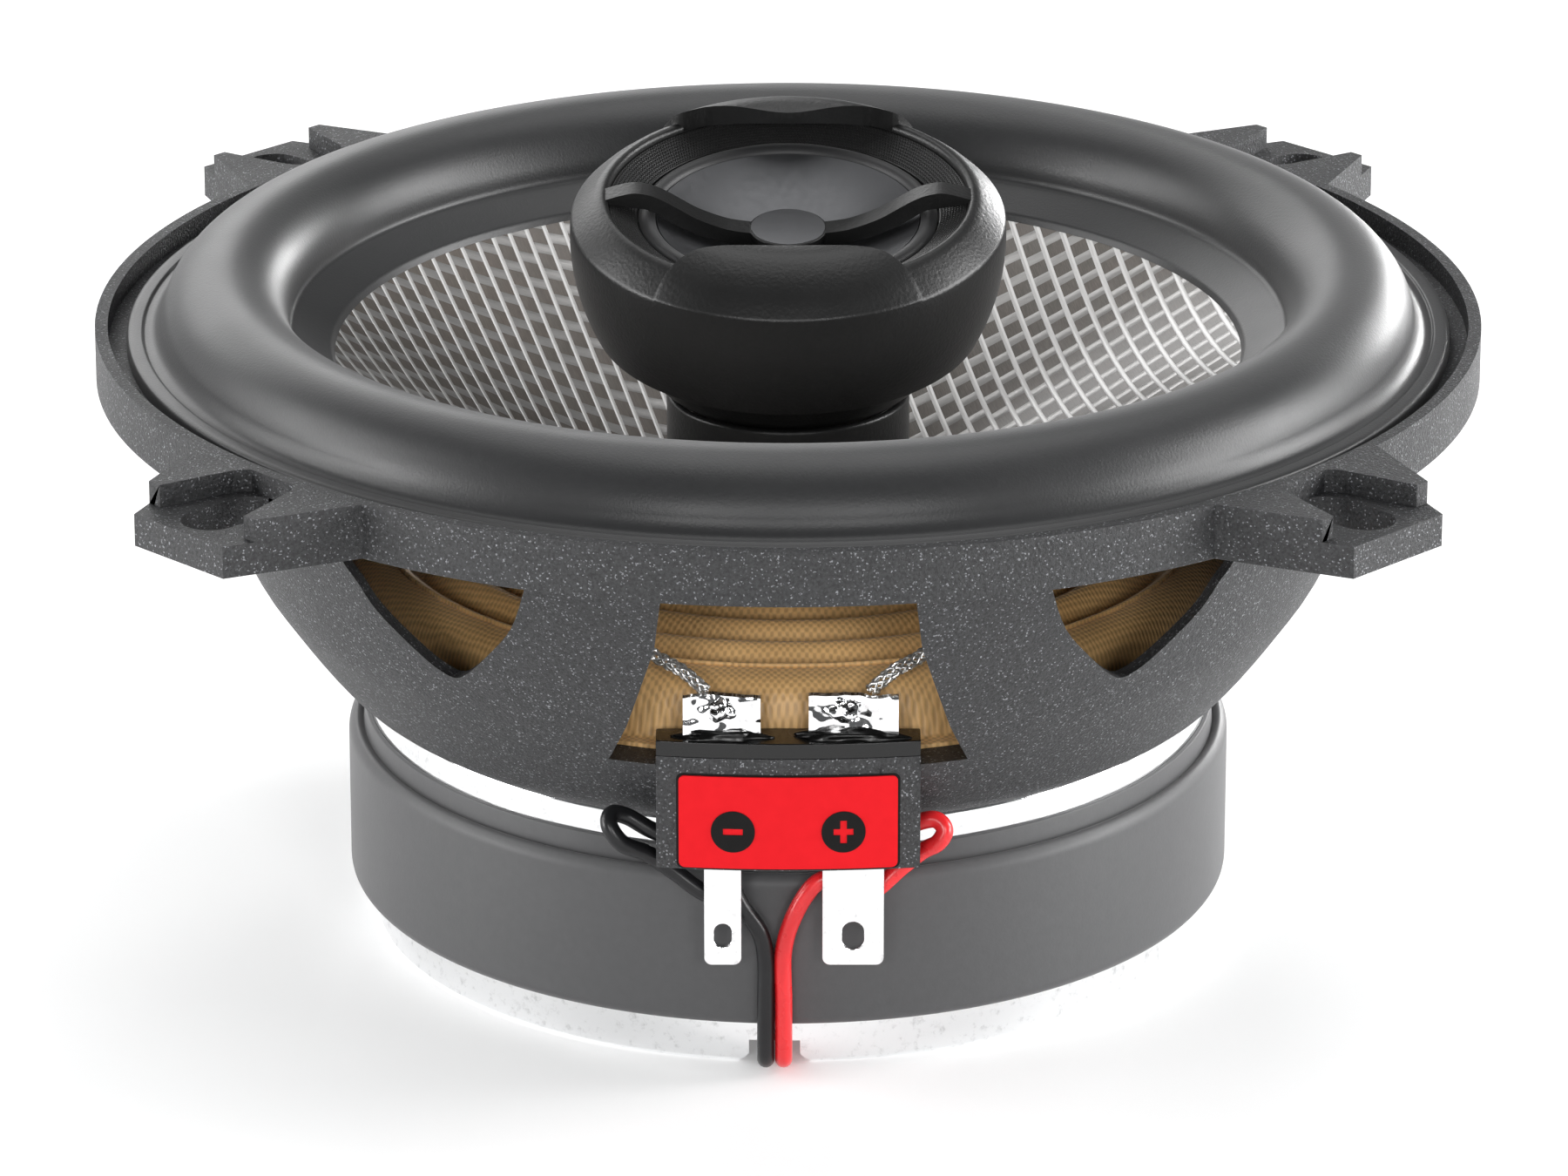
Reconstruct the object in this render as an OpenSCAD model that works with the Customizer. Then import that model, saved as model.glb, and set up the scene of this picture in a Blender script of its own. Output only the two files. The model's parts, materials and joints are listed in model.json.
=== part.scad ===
// Coaxial car speaker of the 130 mm class: a cone driver with a swivelling dome tweeter on its pole.
// The origin is the centre of the flange's rear face, which bears on the panel. +Z points out of the cone.
// The four mounting ears lie on the X and Y axes, and the terminals face halfway between +X and -Y.

/* [Flange and ears] */
// Outer radius of the flange ring
flange_r = 65; // [64:0.5:66]
// Thickness of the flange plate
flange_t = 3; // [2.5:0.1:3.5]
// Height of the raised outer rim above the rear face
rim_h = 5.1; // [4.6:0.1:5.6]
// Wall of the raised outer rim
rim_wall = 1.2; // [0.8:0.1:1.6]
// Distance from the axis to the end of an ear
ear_r = 76.2; // [75.5:0.1:78]
// Half width of an ear at its end
ear_half = 5.9; // [5.5:0.1:7]
// Flare of each side of an ear, in degrees
ear_flare = 22; // [15:1:26]
// Distance from the axis to the middle of a screw slot
slot_r = 70; // [69.5:0.1:70.5]
// Half width of a screw slot
slot_half = 2.7; // [2.2:0.1:3]
// Length of a screw slot from end to end
slot_len = 10; // [8:0.5:10]

/* [Basket] */
// Radius of the shoulder that enters the panel's cut-out
shoulder_r = 57.5; // [57:0.1:58]
// Depth of the basket's foot below the rear face
foot_z = 30.5; // [30:0.1:31]
// Height of the ledge that carries the spider, below the rear face
ledge_z = 22.3; // [22:0.1:22.6]

/* [Cone and suspension] */
// Radius of the cone's edge
cone_r = 47; // [46.5:0.1:47.1]
// Rise of the cone's wall for each millimetre of radius
cone_rise = 0.6; // [0.55:0.01:0.62]
// Depth of the cone's neck below the rear face
neck_z = 16; // [15.5:0.1:16.5]
// Radius of the surround's half roll
roll_r = 6.05; // [5.9:0.05:6.2]
// Radius at the middle of the surround's half roll
roll_mid = 52.85; // [52.7:0.05:53]
// Inner radius of the voice coil's former
coil_r = 12.75; // [12.7:0.01:12.8]

/* [Magnet] */
// Radius of the magnet and of its top plate
magnet_r = 40; // [38:0.5:40]
// Outer radius of the rubber boot
boot_r = 41.95; // [41.5:0.05:42.5]
// Thickness of the top plate
plate_t = 5; // [4:0.5:5]
// Height of the magnet ring
magnet_h = 14.5; // [12:0.5:15]
// Thickness of the back plate
back_t = 4.8; // [4.5:0.1:5.5]

/* [Tweeter] */
// Height of the swivel's centre above the rear face
ball_z = 12.7; // [12.5:0.1:13]
// Radius of the tweeter's outer shell
shell_r = 20.45; // [20.3:0.05:20.6]
// Radius of the ball that the shell is mounted on
ball_r = 19; // [18.9:0.05:19.1]
// Tilt of the tweeter towards the terminals, in degrees
tilt = 10; // [8:1:10]
// Radius of the post
post_r = 11.45; // [11.2:0.05:11.6]

/* [Hidden] */
$fn = 96;
cut = 0.5;                            // how far a cutting solid runs past the face that it cuts
front_turn = 45;                      // turns the terminals, drawn towards -Y, away from the ears
magnet_top = -foot_z - plate_t;
magnet_bottom = magnet_top - magnet_h;
base_z = magnet_bottom - back_t;
former_t = 0.2;
former_out = coil_r + former_t;
wire_r = 0.8;
tinsel_r = 0.65;

// Terminals, seen from the front
bracket_half = 11.95;
bracket_y = -47;                      // front face
bracket_top = -21.6;
bracket_bottom = -32.45;
bracket_wall = 1.4;
bracket_bend = 80;                    // radius of the gentle curve of its front face
board_t = 1.5;
strip_y = -45.4;                      // front face of the two terminal strips
strip_t = 0.8;
strip_bottom = -42.4;
lug_h = 3.9;

// Points along the leads, seen from the front
tinsel_route = [
    [-7.4, -43.9, -16.2], [-9.6, -42.6, -14.7], [-12.3, -40.2, -14], [-16.2, -35, -12.6],
    [-18.6, -29, -10.4], [-19.4, -24, -7.9]];
black_route = [
    [-5.4, -43.6, -34.6], [-4.3, -43.6, -37.2], [-2.6, -43.4, -40], [-2.05, -42.9, -43],
    [-2.05, -42.9, -47], [-2.05, -42.9, -51], [-2.05, -41.9, -53.2], [-2.05, -39, -53.7],
    [-2.05, -28, -53.7], [-1.9, -14, -53.7], [-1.72, -7, -53.65], [-1.05, -3, -53.1],
    [-0.82, -0.4, -51], [-0.82, 0, -46], [-0.82, 0, -34], [-0.82, 0, -18], [-0.82, 0, 0.2]];
red_route = [
    [4.6, -43.55, -34.2], [2.4, -43.6, -35.2], [0.6, -43.5, -38.2], [-0.42, -42.95, -42],
    [-0.42, -42.9, -47], [-0.42, -42.9, -51], [-0.42, -41.9, -53.2], [-0.42, -39, -53.7],
    [-0.42, -28, -53.7], [-0.28, -14, -53.7], [-0.1, -7, -53.65], [0.6, -3, -53.1],
    [0.82, -0.4, -51], [0.82, 0, -46], [0.82, 0, -34], [0.82, 0, -18], [0.82, 0, 0.2]];
black_loop = [
    [-7.05, -43.1, -31.2], [-9.8, -43, -31], [-12.4, -42.7, -30.2], [-14.6, -42.4, -29],
    [-16, -43, -28.5], [-16.2, -44, -29.3], [-15, -44.3, -30.9], [-12.8, -43.4, -32.2],
    [-10.4, -43.3, -34], [-8.6, -43.5, -35.4], [-7.4, -43.5, -36.2]];
red_loop = [
    [7.05, -43.1, -31.2], [9.2, -43, -30.5], [11.4, -42.9, -29.5], [13.3, -43.1, -29],
    [14.2, -43.6, -29.8], [13.6, -43.8, -31], [12.2, -43.3, -32], [10.2, -43.3, -33.7],
    [8.6, -43.5, -35.2], [7.4, -43.5, -36.2]];

function mirrored(route) = [for (p = route) [-p[0], p[1], p[2]]];
function unit(v) = v / norm(v);
function between(p, i, t) =           // a smooth curve through the points of p
    let (a = p[max(i - 1, 0)], b = p[i], c = p[i + 1], d = p[min(i + 2, len(p) - 1)])
    0.5 * (2 * b + (c - a) * t + (2 * a - 5 * b + 4 * c - d) * t * t + (3 * b - a - 3 * c + d) * t * t * t);
function smooth(p, steps) =
    concat([for (i = [0:len(p) - 2]) for (s = [0:steps - 1]) between(p, i, s / steps)], [p[len(p) - 1]]);
function tangent(p, i) = unit(p[min(i + 1, len(p) - 1)] - p[max(i - 1, 0)]);

// A round lead along a smooth curve through the points of a route
module lead(route, r, across, steps = 2, sides = 8) {
    p = smooth(route, steps);
    n = len(p);
    rings = [for (i = [0:n - 1])
        let (t = tangent(p, i), u = unit(cross(t, across)), v = cross(t, u))
        for (k = [0:sides - 1]) p[i] + r * (cos(360 * k / sides) * u + sin(360 * k / sides) * v)];
    walls = [for (i = [0:n - 2]) for (k = [0:sides - 1])
        let (m = (k + 1) % sides)
        [i * sides + k, (i + 1) * sides + k, (i + 1) * sides + m, i * sides + m]];
    ends = [[for (k = [0:sides - 1]) k], [for (k = [sides - 1:-1:0]) (n - 1) * sides + k]];
    polyhedron(rings, concat(walls, ends), convexity = 6);
}

// Places what is drawn towards -Y on the side of the terminals
module at_front() rotate([0, 0, front_turn]) children();

// Places what is drawn around the origin on the tilted axis of the tweeter
module at_tweeter() translate([0, 0, ball_z]) rotate([0, 0, front_turn]) rotate([tilt, 0, 0]) children();

module tube(outer, inner, low, high) translate([0, 0, low]) difference() {
    cylinder(r = outer, h = high - low);
    translate([0, 0, -cut]) cylinder(r = inner, h = high - low + 2 * cut);
}

// A part of a hollow ball, between two heights
module ball_shell(outer, inner, low, high) rotate_extrude() intersection() {
    difference() {
        circle(r = outer);
        circle(r = inner);
    }
    translate([0, low]) square([outer, high - low]);
}

module ear_outline(shrink = 0) {
    root_half = ear_half + (ear_r - 60) * tan(ear_flare);
    polygon([[60, -root_half], [ear_r, -ear_half], [ear_r, ear_half], [60, root_half]]);
}

module slot_outline() {
    reach = slot_len / 2 - slot_half;
    for (x = [-reach, reach]) translate([slot_r + x, 0]) circle(r = slot_half);
    translate([slot_r - reach, -slot_half]) square([2 * reach, 2 * slot_half]);
}

// The raised wall of an ear stands round a pocket that is open towards the tip
module ear_wall() difference() {
    intersection() {
        ear_outline();
        translate([60, -20]) square([13.4, 40]);
    }
    polygon([[64.2, -1.7], [64.9, -3.1], [66.3, -3.9], [78, -6.8], [78, 6.8], [66.3, 3.9],
        [64.9, 3.1], [64.2, 1.7]]);
}

module ears() for (a = [0:90:270]) rotate([0, 0, a]) {
    linear_extrude(height = flange_t) ear_outline();
    translate([0, 0, flange_t]) linear_extrude(height = rim_h - flange_t) ear_wall();
}

module bowl() rotate_extrude() polygon([
    [shoulder_r, 0], [shoulder_r, -1.5], [56.2, -4], [53.8, -11], [51, -17.5], [48.4, -21.6],
    [45.2, -26], [42.6, -28.9], [40.4, -foot_z], [25, -foot_z], [25, -foot_z + 2.2],
    [39.6, -foot_z + 2.2], [43.4, -ledge_z - 2], [38, -ledge_z - 2], [38, -ledge_z],
    [45.8, -ledge_z], [49.4, -17], [52.3, -11], [54.7, -4], [55.2, 0], [55.2, flange_t],
    [shoulder_r, flange_t]]);

// The wide window above the terminals
module middle_window() translate([0, -36, 0]) rotate([90, 0, 0]) linear_extrude(height = 30)
    polygon([[-11.2, -2], [-11.9, -8.4], [-14.5, -17.6], [-16.2, -ledge_z], [16.2, -ledge_z],
        [14.5, -17.6], [11.9, -8.4], [11.2, -2]]);

// A narrower window beside it, coming to a rounded point at the bottom
module side_window() rotate([0, 0, -18]) translate([0, -40, 0]) rotate([90, 0, 0])
    linear_extrude(height = 28) {
        polygon([[-27.9, -2], [-26.4, -5.8], [-25, -7.6], [-23.2, -10.2], [-19, -13.8],
            [-16.85, -15.1], [-14.3, -14.75], [-11.6, -12.1], [-8.5, -8.3], [-6.5, -3.6], [-6, -2]]);
        translate([-15.7, -13.7]) circle(r = 1.85);
    }

// A round bar whose side is the curved front face of the bracket, or a little in front of it
module bend(extra = 0) translate([0, bracket_y + bracket_bend, -50])
    cylinder(r = bracket_bend + extra, h = 60);

module bracket() {
    depth = 6;
    translate([-bracket_half, bracket_y - cut, bracket_bottom])
        cube([2 * bracket_half, bracket_wall + cut, bracket_top - bracket_bottom]);
    for (x = [-bracket_half, bracket_half - bracket_wall])
        translate([x, bracket_y - cut, bracket_bottom])
            cube([bracket_wall, 2.8 + cut, bracket_top - bracket_bottom]);
    translate([-bracket_half, bracket_y - cut, bracket_top - bracket_wall])
        cube([2 * bracket_half, depth + cut, bracket_wall]);
}

module basket() color("#3b3c3e") {
    difference() {
        union() {
            tube(flange_r, 55.2, 0, flange_t);
            tube(flange_r, flange_r - rim_wall, flange_t - 0.01, rim_h);
            difference() {
                ears();
                translate([0, 0, -cut]) cylinder(r = flange_r - rim_wall, h = rim_h + 2 * cut);
            }
            difference() {
                bowl();
                at_front() for (half = [0, 180]) rotate([0, 0, half]) {
                    middle_window();
                    side_window();
                    mirror([1, 0, 0]) side_window();
                }
            }
            at_front() difference() {
                bracket();
                cylinder(r = 44.6, h = 80, center = true);
                translate([-10.4, strip_y - 0.1, bracket_top - 2 * bracket_wall])
                    cube([20.8, 2.4, 3 * bracket_wall]);
            }
        }
        for (a = [0:90:270]) rotate([0, 0, a]) translate([0, 0, -cut])
            linear_extrude(height = rim_h + 2 * cut) slot_outline();
        at_front() difference() {
            translate([-bracket_half, bracket_y - 3, bracket_bottom - cut])
                cube([2 * bracket_half, 5, bracket_top - bracket_bottom + 2 * cut]);
            bend();
        }
        at_front() translate([-10.4, strip_y - 0.1, -27.5])
            cube([20.8, 1.1, 27.5 + bracket_top + bracket_wall]);
    }
}

module terminal_board() color("#17181a") at_front() difference() {
    intersection() {
        translate([-bracket_half, bracket_y - cut, bracket_top])
            cube([2 * bracket_half, 3.9 + cut, board_t]);
        bend();
    }
    for (x = [-6.8, 5.2])
        translate([x - 0.1, strip_y - 0.02, bracket_top - cut]) cube([2, strip_t + 0.04, board_t + 2 * cut]);
}

// One strip: a solder lug on the board, a neck through it and a blade below with a hole
module terminal_strip(lug_x, lug_w, neck_x, blade_x, blade_w, hole_r) {
    board_top = bracket_top + board_t;
    translate([0, strip_y + strip_t, 0]) rotate([90, 0, 0]) linear_extrude(height = strip_t) difference() {
        union() {
            translate([lug_x, board_top]) square([lug_w, lug_h]);
            translate([neck_x, bracket_bottom]) square([1.8, board_top - bracket_bottom + cut]);
            translate([blade_x, strip_bottom + 0.7])
                square([blade_w, bracket_bottom + 1.5 - strip_bottom]);
            translate([blade_x + 0.7, strip_bottom]) square([blade_w - 1.4, 2]);
            for (x = [blade_x + 0.7, blade_x + blade_w - 0.7])
                translate([x, strip_bottom + 0.7]) circle(r = 0.7);
        }
        for (z = [-0.35, 0.35])
            translate([blade_x + blade_w / 2, strip_bottom + 2.9 + z]) circle(r = hole_r);
    }
}

module negative_terminal() color("#d9dadb") at_front() terminal_strip(-9.5, 7, -6.8, -7.65, 3.4, 0.8);
module positive_terminal() color("#d9dadb") at_front() terminal_strip(1.85, 8.1, 5.2, 3.1, 5.6, 1);

module solder_joints() color("#c6c8ca") at_front() for (x = [-6.9, 6.9])
    translate([x, strip_y + strip_t, bracket_top + board_t + lug_h - 1.3]) rotate([-90, 0, 0])
        rotate_extrude() intersection() {
            circle(r = 1.15);
            square([2, 2]);
        }

module polarity_label() color("#e11d23") at_front() intersection() {
    difference() {
        bend(0.2);
        bend();
    }
    translate([-9.9, bracket_y - 2, -32.2]) cube([19.8, 4, 8.9]);
}

module polarity_marks() color("#141414") at_front() intersection() {
    difference() {
        bend(0.3);
        bend(0.2);
    }
    for (side = [-1, 1]) translate([side * 5, bracket_y + 2, -28.6]) rotate([90, 0, 0])
        linear_extrude(height = 4) difference() {
            circle(r = 2);
            square([1.8, 0.6], center = true);
            if (side > 0) square([0.6, 1.8], center = true);
        }
}

module top_plate() color("#cfd2d4") tube(magnet_r, 13.75, magnet_top, -foot_z);
module ferrite_magnet() color("#2b2b2d") tube(magnet_r, 16, magnet_bottom, magnet_top);

module magnet_boot() color("#3f4042") rotate_extrude() polygon([
    [magnet_r, magnet_bottom], [boot_r - 0.5, magnet_bottom], [boot_r, magnet_bottom + 0.8],
    [boot_r, magnet_top - 0.1], [boot_r - 0.4, magnet_top + 0.4], [magnet_r + 0.9, magnet_top + 0.4],
    [magnet_r + 0.5, magnet_top + 0.1], [magnet_r + 0.4, magnet_top + 2.3], [magnet_r, magnet_top + 2.3]]);

module pole_yoke() color("#cfd2d4") difference() {
    rotate_extrude() polygon([
        [5, base_z], [39, base_z], [39.5, base_z + 0.5], [39.5, magnet_bottom - 0.4],
        [39.1, magnet_bottom], [12.4, magnet_bottom], [12.4, -foot_z], [5, -foot_z]]);
    at_front() translate([-1.25, 0, base_z]) rotate([90, 0, 0]) linear_extrude(height = 45)
        polygon([[-3.3, -cut], [-3.3, 0], [-2.35, 0.95], [-2.35, 2.3], [2.35, 2.3], [2.35, 0.95],
            [3.3, 0], [3.3, -cut]]);
}

module tweeter_post() color("#1b1c1e") difference() {
    rotate_extrude() polygon([
        [3.05, -foot_z - 5.5], [5, -foot_z - 5.5], [5, -foot_z], [post_r, -foot_z], [post_r, -2.9],
        [10.2, -2.9], [10.2, -5.9], [8.8, -5.9], [8.8, -26], [3.05, -26]]);
    translate([0, 0, ball_z]) sphere(r = ball_r + 0.3);
}

module swivel_bolt() color("#b9bcbf") difference() {
    union() {
        translate([0, 0, -40]) cylinder(r = 2.6, h = 40 - 2.3);
        translate([0, 0, -2.35]) cylinder(r = 4.2, h = 1.75, $fn = 6);
    }
    translate([0, 0, -41]) cylinder(r = 1.85, h = 44);
}

module swivel_nut() color("#b9bcbf") difference() {
    translate([0, 0, -38.6]) cylinder(r = 4.5, h = 2.6, $fn = 6);
    translate([0, 0, -39]) cylinder(r = 2.6, h = 4);
}

module swivel_cup() color("#c9c9c4") translate([0, 0, ball_z]) difference() {
    union() {
        ball_shell(ball_r - 1.6, ball_r - 2.8, -ball_r, -12.6);
        translate([0, 0, -16.4]) cylinder(r = 4.5, h = 0.85);
    }
    translate([0, 0, -ball_r]) cylinder(r = 2.65, h = 6);
}

module spring_washer() color("#9da0a3") rotate_extrude()
    polygon([[2.7, -2.75], [2.7, -2.35], [4, -2.35], [4.5, -2.6], [4.4, -2.85]]);

module capacitor() color("#1d2b52") at_front() translate([-7, -43.1, -31]) rotate([0, 90, 0])
    cylinder(r = 1.25, h = 14);

module capacitor_lead_black() color("#111214") at_front() lead(black_loop, wire_r, [0, -0.65, 0.76]);
module capacitor_lead_red() color("#d6262b") at_front() lead(red_loop, wire_r, [0, -0.65, 0.76]);
module tweeter_lead_black() color("#111214") at_front() lead(black_route, wire_r, [1, 0, 0]);
module tweeter_lead_red() color("#d6262b") at_front() lead(red_route, wire_r, [1, 0, 0]);
module tinsel_lead_negative() color("#c2c4c6") at_front() lead(tinsel_route, tinsel_r, [0, 0, 1]);
module tinsel_lead_positive() color("#c2c4c6") at_front() lead(mirrored(tinsel_route), tinsel_r, [0, 0, 1]);

function cone_z(r) = -neck_z + (r - 13.2) * cone_rise;

module cone() color("#a9a49d") rotate_extrude() polygon([
    [former_out, -neck_z - 1], [13.5, -neck_z - 1], [13.5, cone_z(13.5) - 0.7],
    [cone_r, cone_z(cone_r) - 0.7], [cone_r, cone_z(cone_r)], [13.2, cone_z(13.2)],
    [former_out, -neck_z]]);

module surround() color("#2c2d2f") rotate_extrude() {
    roll_z = 4.4;
    wall = 0.8;
    inner = roll_mid - roll_r;
    intersection() {
        translate([roll_mid, roll_z]) difference() {
            circle(r = roll_r);
            circle(r = roll_r - wall);
        }
        translate([0, roll_z]) square([80, 20]);
    }
    translate([roll_mid + roll_r - wall, flange_t]) square([4, roll_z - flange_t]);
    polygon([
        [42.6, cone_z(42.6)], [cone_r, cone_z(cone_r)], [inner + wall, roll_z],
        [inner + wall, roll_z + 0.1], [inner, roll_z + 0.1], [42.6, cone_z(42.6) + 0.5]]);
}

function spider_z(r) = -17 + 1.1 * cos(360 * (r - 38.9) / 5.5);
spider_step = 0.55;
spider_t = 0.4;
spider_rs = [for (i = [0:46]) 38.9 - spider_step * i];

module spider() color("#b08040") rotate_extrude() {
    ledge = -ledge_z;
    polygon(concat(
        [for (r = spider_rs) [r, spider_z(r)]],
        [[former_out, spider_z(former_out)], [former_out, spider_z(former_out) - spider_t]],
        [for (i = [46:-1:0]) [spider_rs[i], spider_z(spider_rs[i]) - spider_t]],
        [[40.9, -17.2], [42, -19.2], [42.2, ledge], [44.3, ledge], [44.3, ledge + spider_t],
            [42.7, ledge + spider_t], [42.5, -19.1], [41.3, -16.8], [39.6, -15.95]]));
}

module coil_former() color("#8a8f7c") tube(former_out, coil_r, -42, -neck_z);
module voice_coil() color("#a4502a") tube(former_out + 0.4, former_out, -38.5, -27.5);

module swivel_seat() color("#dcd9cf") difference() {
    tube(10.1, 8, -5.8, -2.9);
    translate([0, 0, ball_z]) sphere(r = ball_r + 0.08);
}

// The ball of the swivel, open at the bottom for the bolt
module tweeter_housing() color("#1b1c1e") at_tweeter() difference() {
    ball_shell(ball_r, ball_r - 1.3, -ball_r, -1);
    translate([0, 0, -ball_r - 1]) cylinder(r = 6.8, h = 6);
}

// A hood rises from the rim and leans in over the mouth, along the points of its top
module hood(top) difference() {
    rotate([0, 0, -128]) rotate_extrude(angle = 76) polygon(concat(
        [[19.9, 1.5], [19.9, 2.1]], top, [[16.7, 3.7], [17.7, 3.1], [18.2, 1.3]]));
    translate([-15, -12.9, 0]) cube([30, 12, 8]);
}

module bridge() rotate([90, 0, 0]) translate([0, 0, -1.4]) linear_extrude(height = 2.8)
    for (side = [0, 1]) mirror([side, 0]) polygon([
        [0, 0.5], [4, 0.6], [6.2, 1.1], [8.5, 2], [10.3, 3.2], [11.8, 4.1], [13.2, 4.6], [14.8, 4.7],
        [17.5, 4], [17.5, 3.4], [16.6, 3.5], [14.4, 3.1], [12.8, 2.8], [10.8, 1.45], [8.9, 0.5],
        [6.8, -0.3], [4.2, -0.8], [0, -0.8]]);

module tweeter_bezel() color("#1b1c1e") at_tweeter() {
    rotate_extrude() {
        intersection() {
            difference() {
                circle(r = shell_r);
                circle(r = ball_r);
            }
            translate([0, -9.3]) square([shell_r, 11.1]);
        }
        polygon([[20.37, 1.8], [19.2, 3], [17.8, 4.05], [17.2, 4.2], [16.8, 4], [16.8, 3.2], [17.4, 2.4],
            [17.4, 0.9], [18.98, 0.9], [18.9, 1.8]]);
    }
    hood([[12.4, 5.6], [12.4, 4.7]]);
    rotate([0, 0, 180]) hood([[17.4, 5.3], [14.6, 6.5], [12.4, 6.2], [12.4, 5.3]]);
    bridge();
    translate([0, 0, -0.8]) cylinder(r = 3.7, h = 1.4);
}

module tweeter_mesh() color("#242527") at_tweeter() rotate_extrude() polygon([
    [14.2, 1.6], [14.2, 1.95], [16.75, 3.35], [16.75, 3], [17.35, 2.35], [17.35, 0.9], [17, 0.9],
    [17, 2.3], [16.6, 2.9]]);

module tweeter_mount_ring() color("#1b1c1e") at_tweeter() tube(18.9, 13.3, -1, 0.9);

module tweeter_pot() color("#b9bcbf") at_tweeter() rotate_extrude() polygon([
    [0, -10], [11, -10], [14.2, -6.8], [14.2, -1], [13, -1], [13, -7.4], [0, -7.4]]);

module tweeter_magnet() color("#8f9296") at_tweeter() translate([0, 0, -7.4]) cylinder(r = 11, h = 2.8);
module tweeter_pole_plate() color("#b9bcbf") at_tweeter() translate([0, 0, -4.6]) cylinder(r = 12, h = 1.9);

// An inverted dome: the cap of a ball, hollow towards the front
module tweeter_dome() color("#4a4b4d") at_tweeter() translate([0, 0, 21.26]) rotate_extrude()
    intersection() {
        difference() {
            circle(r = 23.26);
            circle(r = 23.06);
        }
        translate([0, -30]) square([12.42, 20]);
    }

module dome_surround() color("#2a2a2c") at_tweeter() rotate_extrude() {
    translate([13.2, 1.5]) intersection() {
        difference() {
            circle(r = 0.8);
            circle(r = 0.65);
        }
        translate([-1, 0]) square([2, 1]);
    }
    translate([13.85, 0.95]) square([0.15, 0.56]);
    translate([13.85, 0.95]) square([1.25, 0.15]);
}

module tweeter_coil() color("#a4502a") at_tweeter() tube(12.6, 12.4, -5.4, 1.5);

basket();
terminal_board();
negative_terminal();
positive_terminal();
solder_joints();
polarity_label();
polarity_marks();
top_plate();
ferrite_magnet();
magnet_boot();
pole_yoke();
tweeter_post();
swivel_bolt();
swivel_nut();
swivel_cup();
spring_washer();
capacitor();
capacitor_lead_black();
capacitor_lead_red();
tweeter_lead_black();
tweeter_lead_red();
tinsel_lead_negative();
tinsel_lead_positive();
cone();
surround();
spider();
coil_former();
voice_coil();
swivel_seat();
tweeter_housing();
tweeter_bezel();
tweeter_mesh();
tweeter_mount_ring();
tweeter_pot();
tweeter_magnet();
tweeter_pole_plate();
tweeter_dome();
dome_surround();
tweeter_coil();
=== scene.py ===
# %% [markdown]
# # A coaxial car speaker
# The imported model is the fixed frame: its nodes say where everything is and what moves. This notebook dresses
# it. Each step says what the real piece is, how it could be made, and why it is made this way here.

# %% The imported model, and a few names used everywhere
import json
import math
import random
import bmesh
import bpy
import numpy as np
from mathutils import Matrix, Vector, noise


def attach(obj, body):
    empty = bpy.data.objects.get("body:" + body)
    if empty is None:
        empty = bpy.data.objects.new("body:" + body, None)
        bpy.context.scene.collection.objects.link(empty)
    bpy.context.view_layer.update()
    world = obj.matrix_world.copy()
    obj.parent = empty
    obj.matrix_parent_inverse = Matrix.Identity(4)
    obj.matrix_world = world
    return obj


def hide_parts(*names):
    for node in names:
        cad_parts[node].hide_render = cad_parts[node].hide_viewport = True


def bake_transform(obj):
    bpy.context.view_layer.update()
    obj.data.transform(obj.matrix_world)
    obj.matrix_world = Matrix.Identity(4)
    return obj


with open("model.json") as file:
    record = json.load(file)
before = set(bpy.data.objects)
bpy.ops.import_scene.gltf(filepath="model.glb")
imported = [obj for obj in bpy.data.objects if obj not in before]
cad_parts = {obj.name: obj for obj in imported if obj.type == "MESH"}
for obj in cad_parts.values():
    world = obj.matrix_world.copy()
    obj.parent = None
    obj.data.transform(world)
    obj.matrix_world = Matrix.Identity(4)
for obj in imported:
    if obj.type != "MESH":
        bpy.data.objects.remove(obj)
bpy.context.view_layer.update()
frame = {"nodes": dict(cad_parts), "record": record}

nodes = frame["nodes"]

# %% [markdown]
# ## Two ways to place a point
# The speaker is easiest to describe in millimetres with its terminals straight ahead, towards -Y. In the frame
# they face halfway between +X and -Y, so `bench` turns a point by 45 degrees and makes it metres. The tweeter
# has its own axis, tilted by 10 degrees about the swivel's centre, and `pod` places what is described round it.

# %% Placing points
MM = 0.001
FRONT = 45
TURN = Matrix.Rotation(math.radians(FRONT), 3, "Z")
SWIVEL = Vector((0, 0, 12.7))
TILT = TURN @ Matrix.Rotation(math.radians(10), 3, "X")


def bench(x, y, z):
    return (TURN @ Vector((x, y, z))) * MM


def pod(x, y, z):
    return (TILT @ Vector((x, y, z)) + SWIVEL) * MM


print("the tweeter's axis:", [round(v, 4) for v in TILT @ Vector((0, 0, 1))])

# %% [markdown]
# ## The camera
# A long lens well back keeps the ellipses of the rings nearly parallel, which is how products are shown. The
# camera stands about 0.82 m away and looks down by 20.8 degrees on the terminals' side.

# %% Camera
LOOK_DOWN, LENS = 20.836, 198.71
camera = bpy.data.objects.new("camera", bpy.data.cameras.new("camera"))
camera.data.sensor_width = 36
camera.data.lens = LENS
camera.data.clip_start = 0.01
camera.location = bench(-0.38, -769.75, 270.02)
camera.rotation_euler = (math.radians(90 - LOOK_DOWN), 0, math.radians(FRONT))
bpy.context.scene.collection.objects.link(camera)
bpy.context.scene.camera = camera
print("camera at", [round(v, 3) for v in camera.location])

# %% [markdown]
# ## Wires: arithmetic for node sockets
# A pattern such as a weave is a formula, and a formula is hard to read as a list of nodes and links. `Wire`
# wraps one output socket and gives it the usual operators, so `wave * 0.5 + 0.5` builds the Math nodes itself.
# `Graph` wraps a node tree. Its `node` method adds any other node, and `mix` blends two colours. Both work in
# materials and in geometry trees, because the Math node is the same in each.

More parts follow.
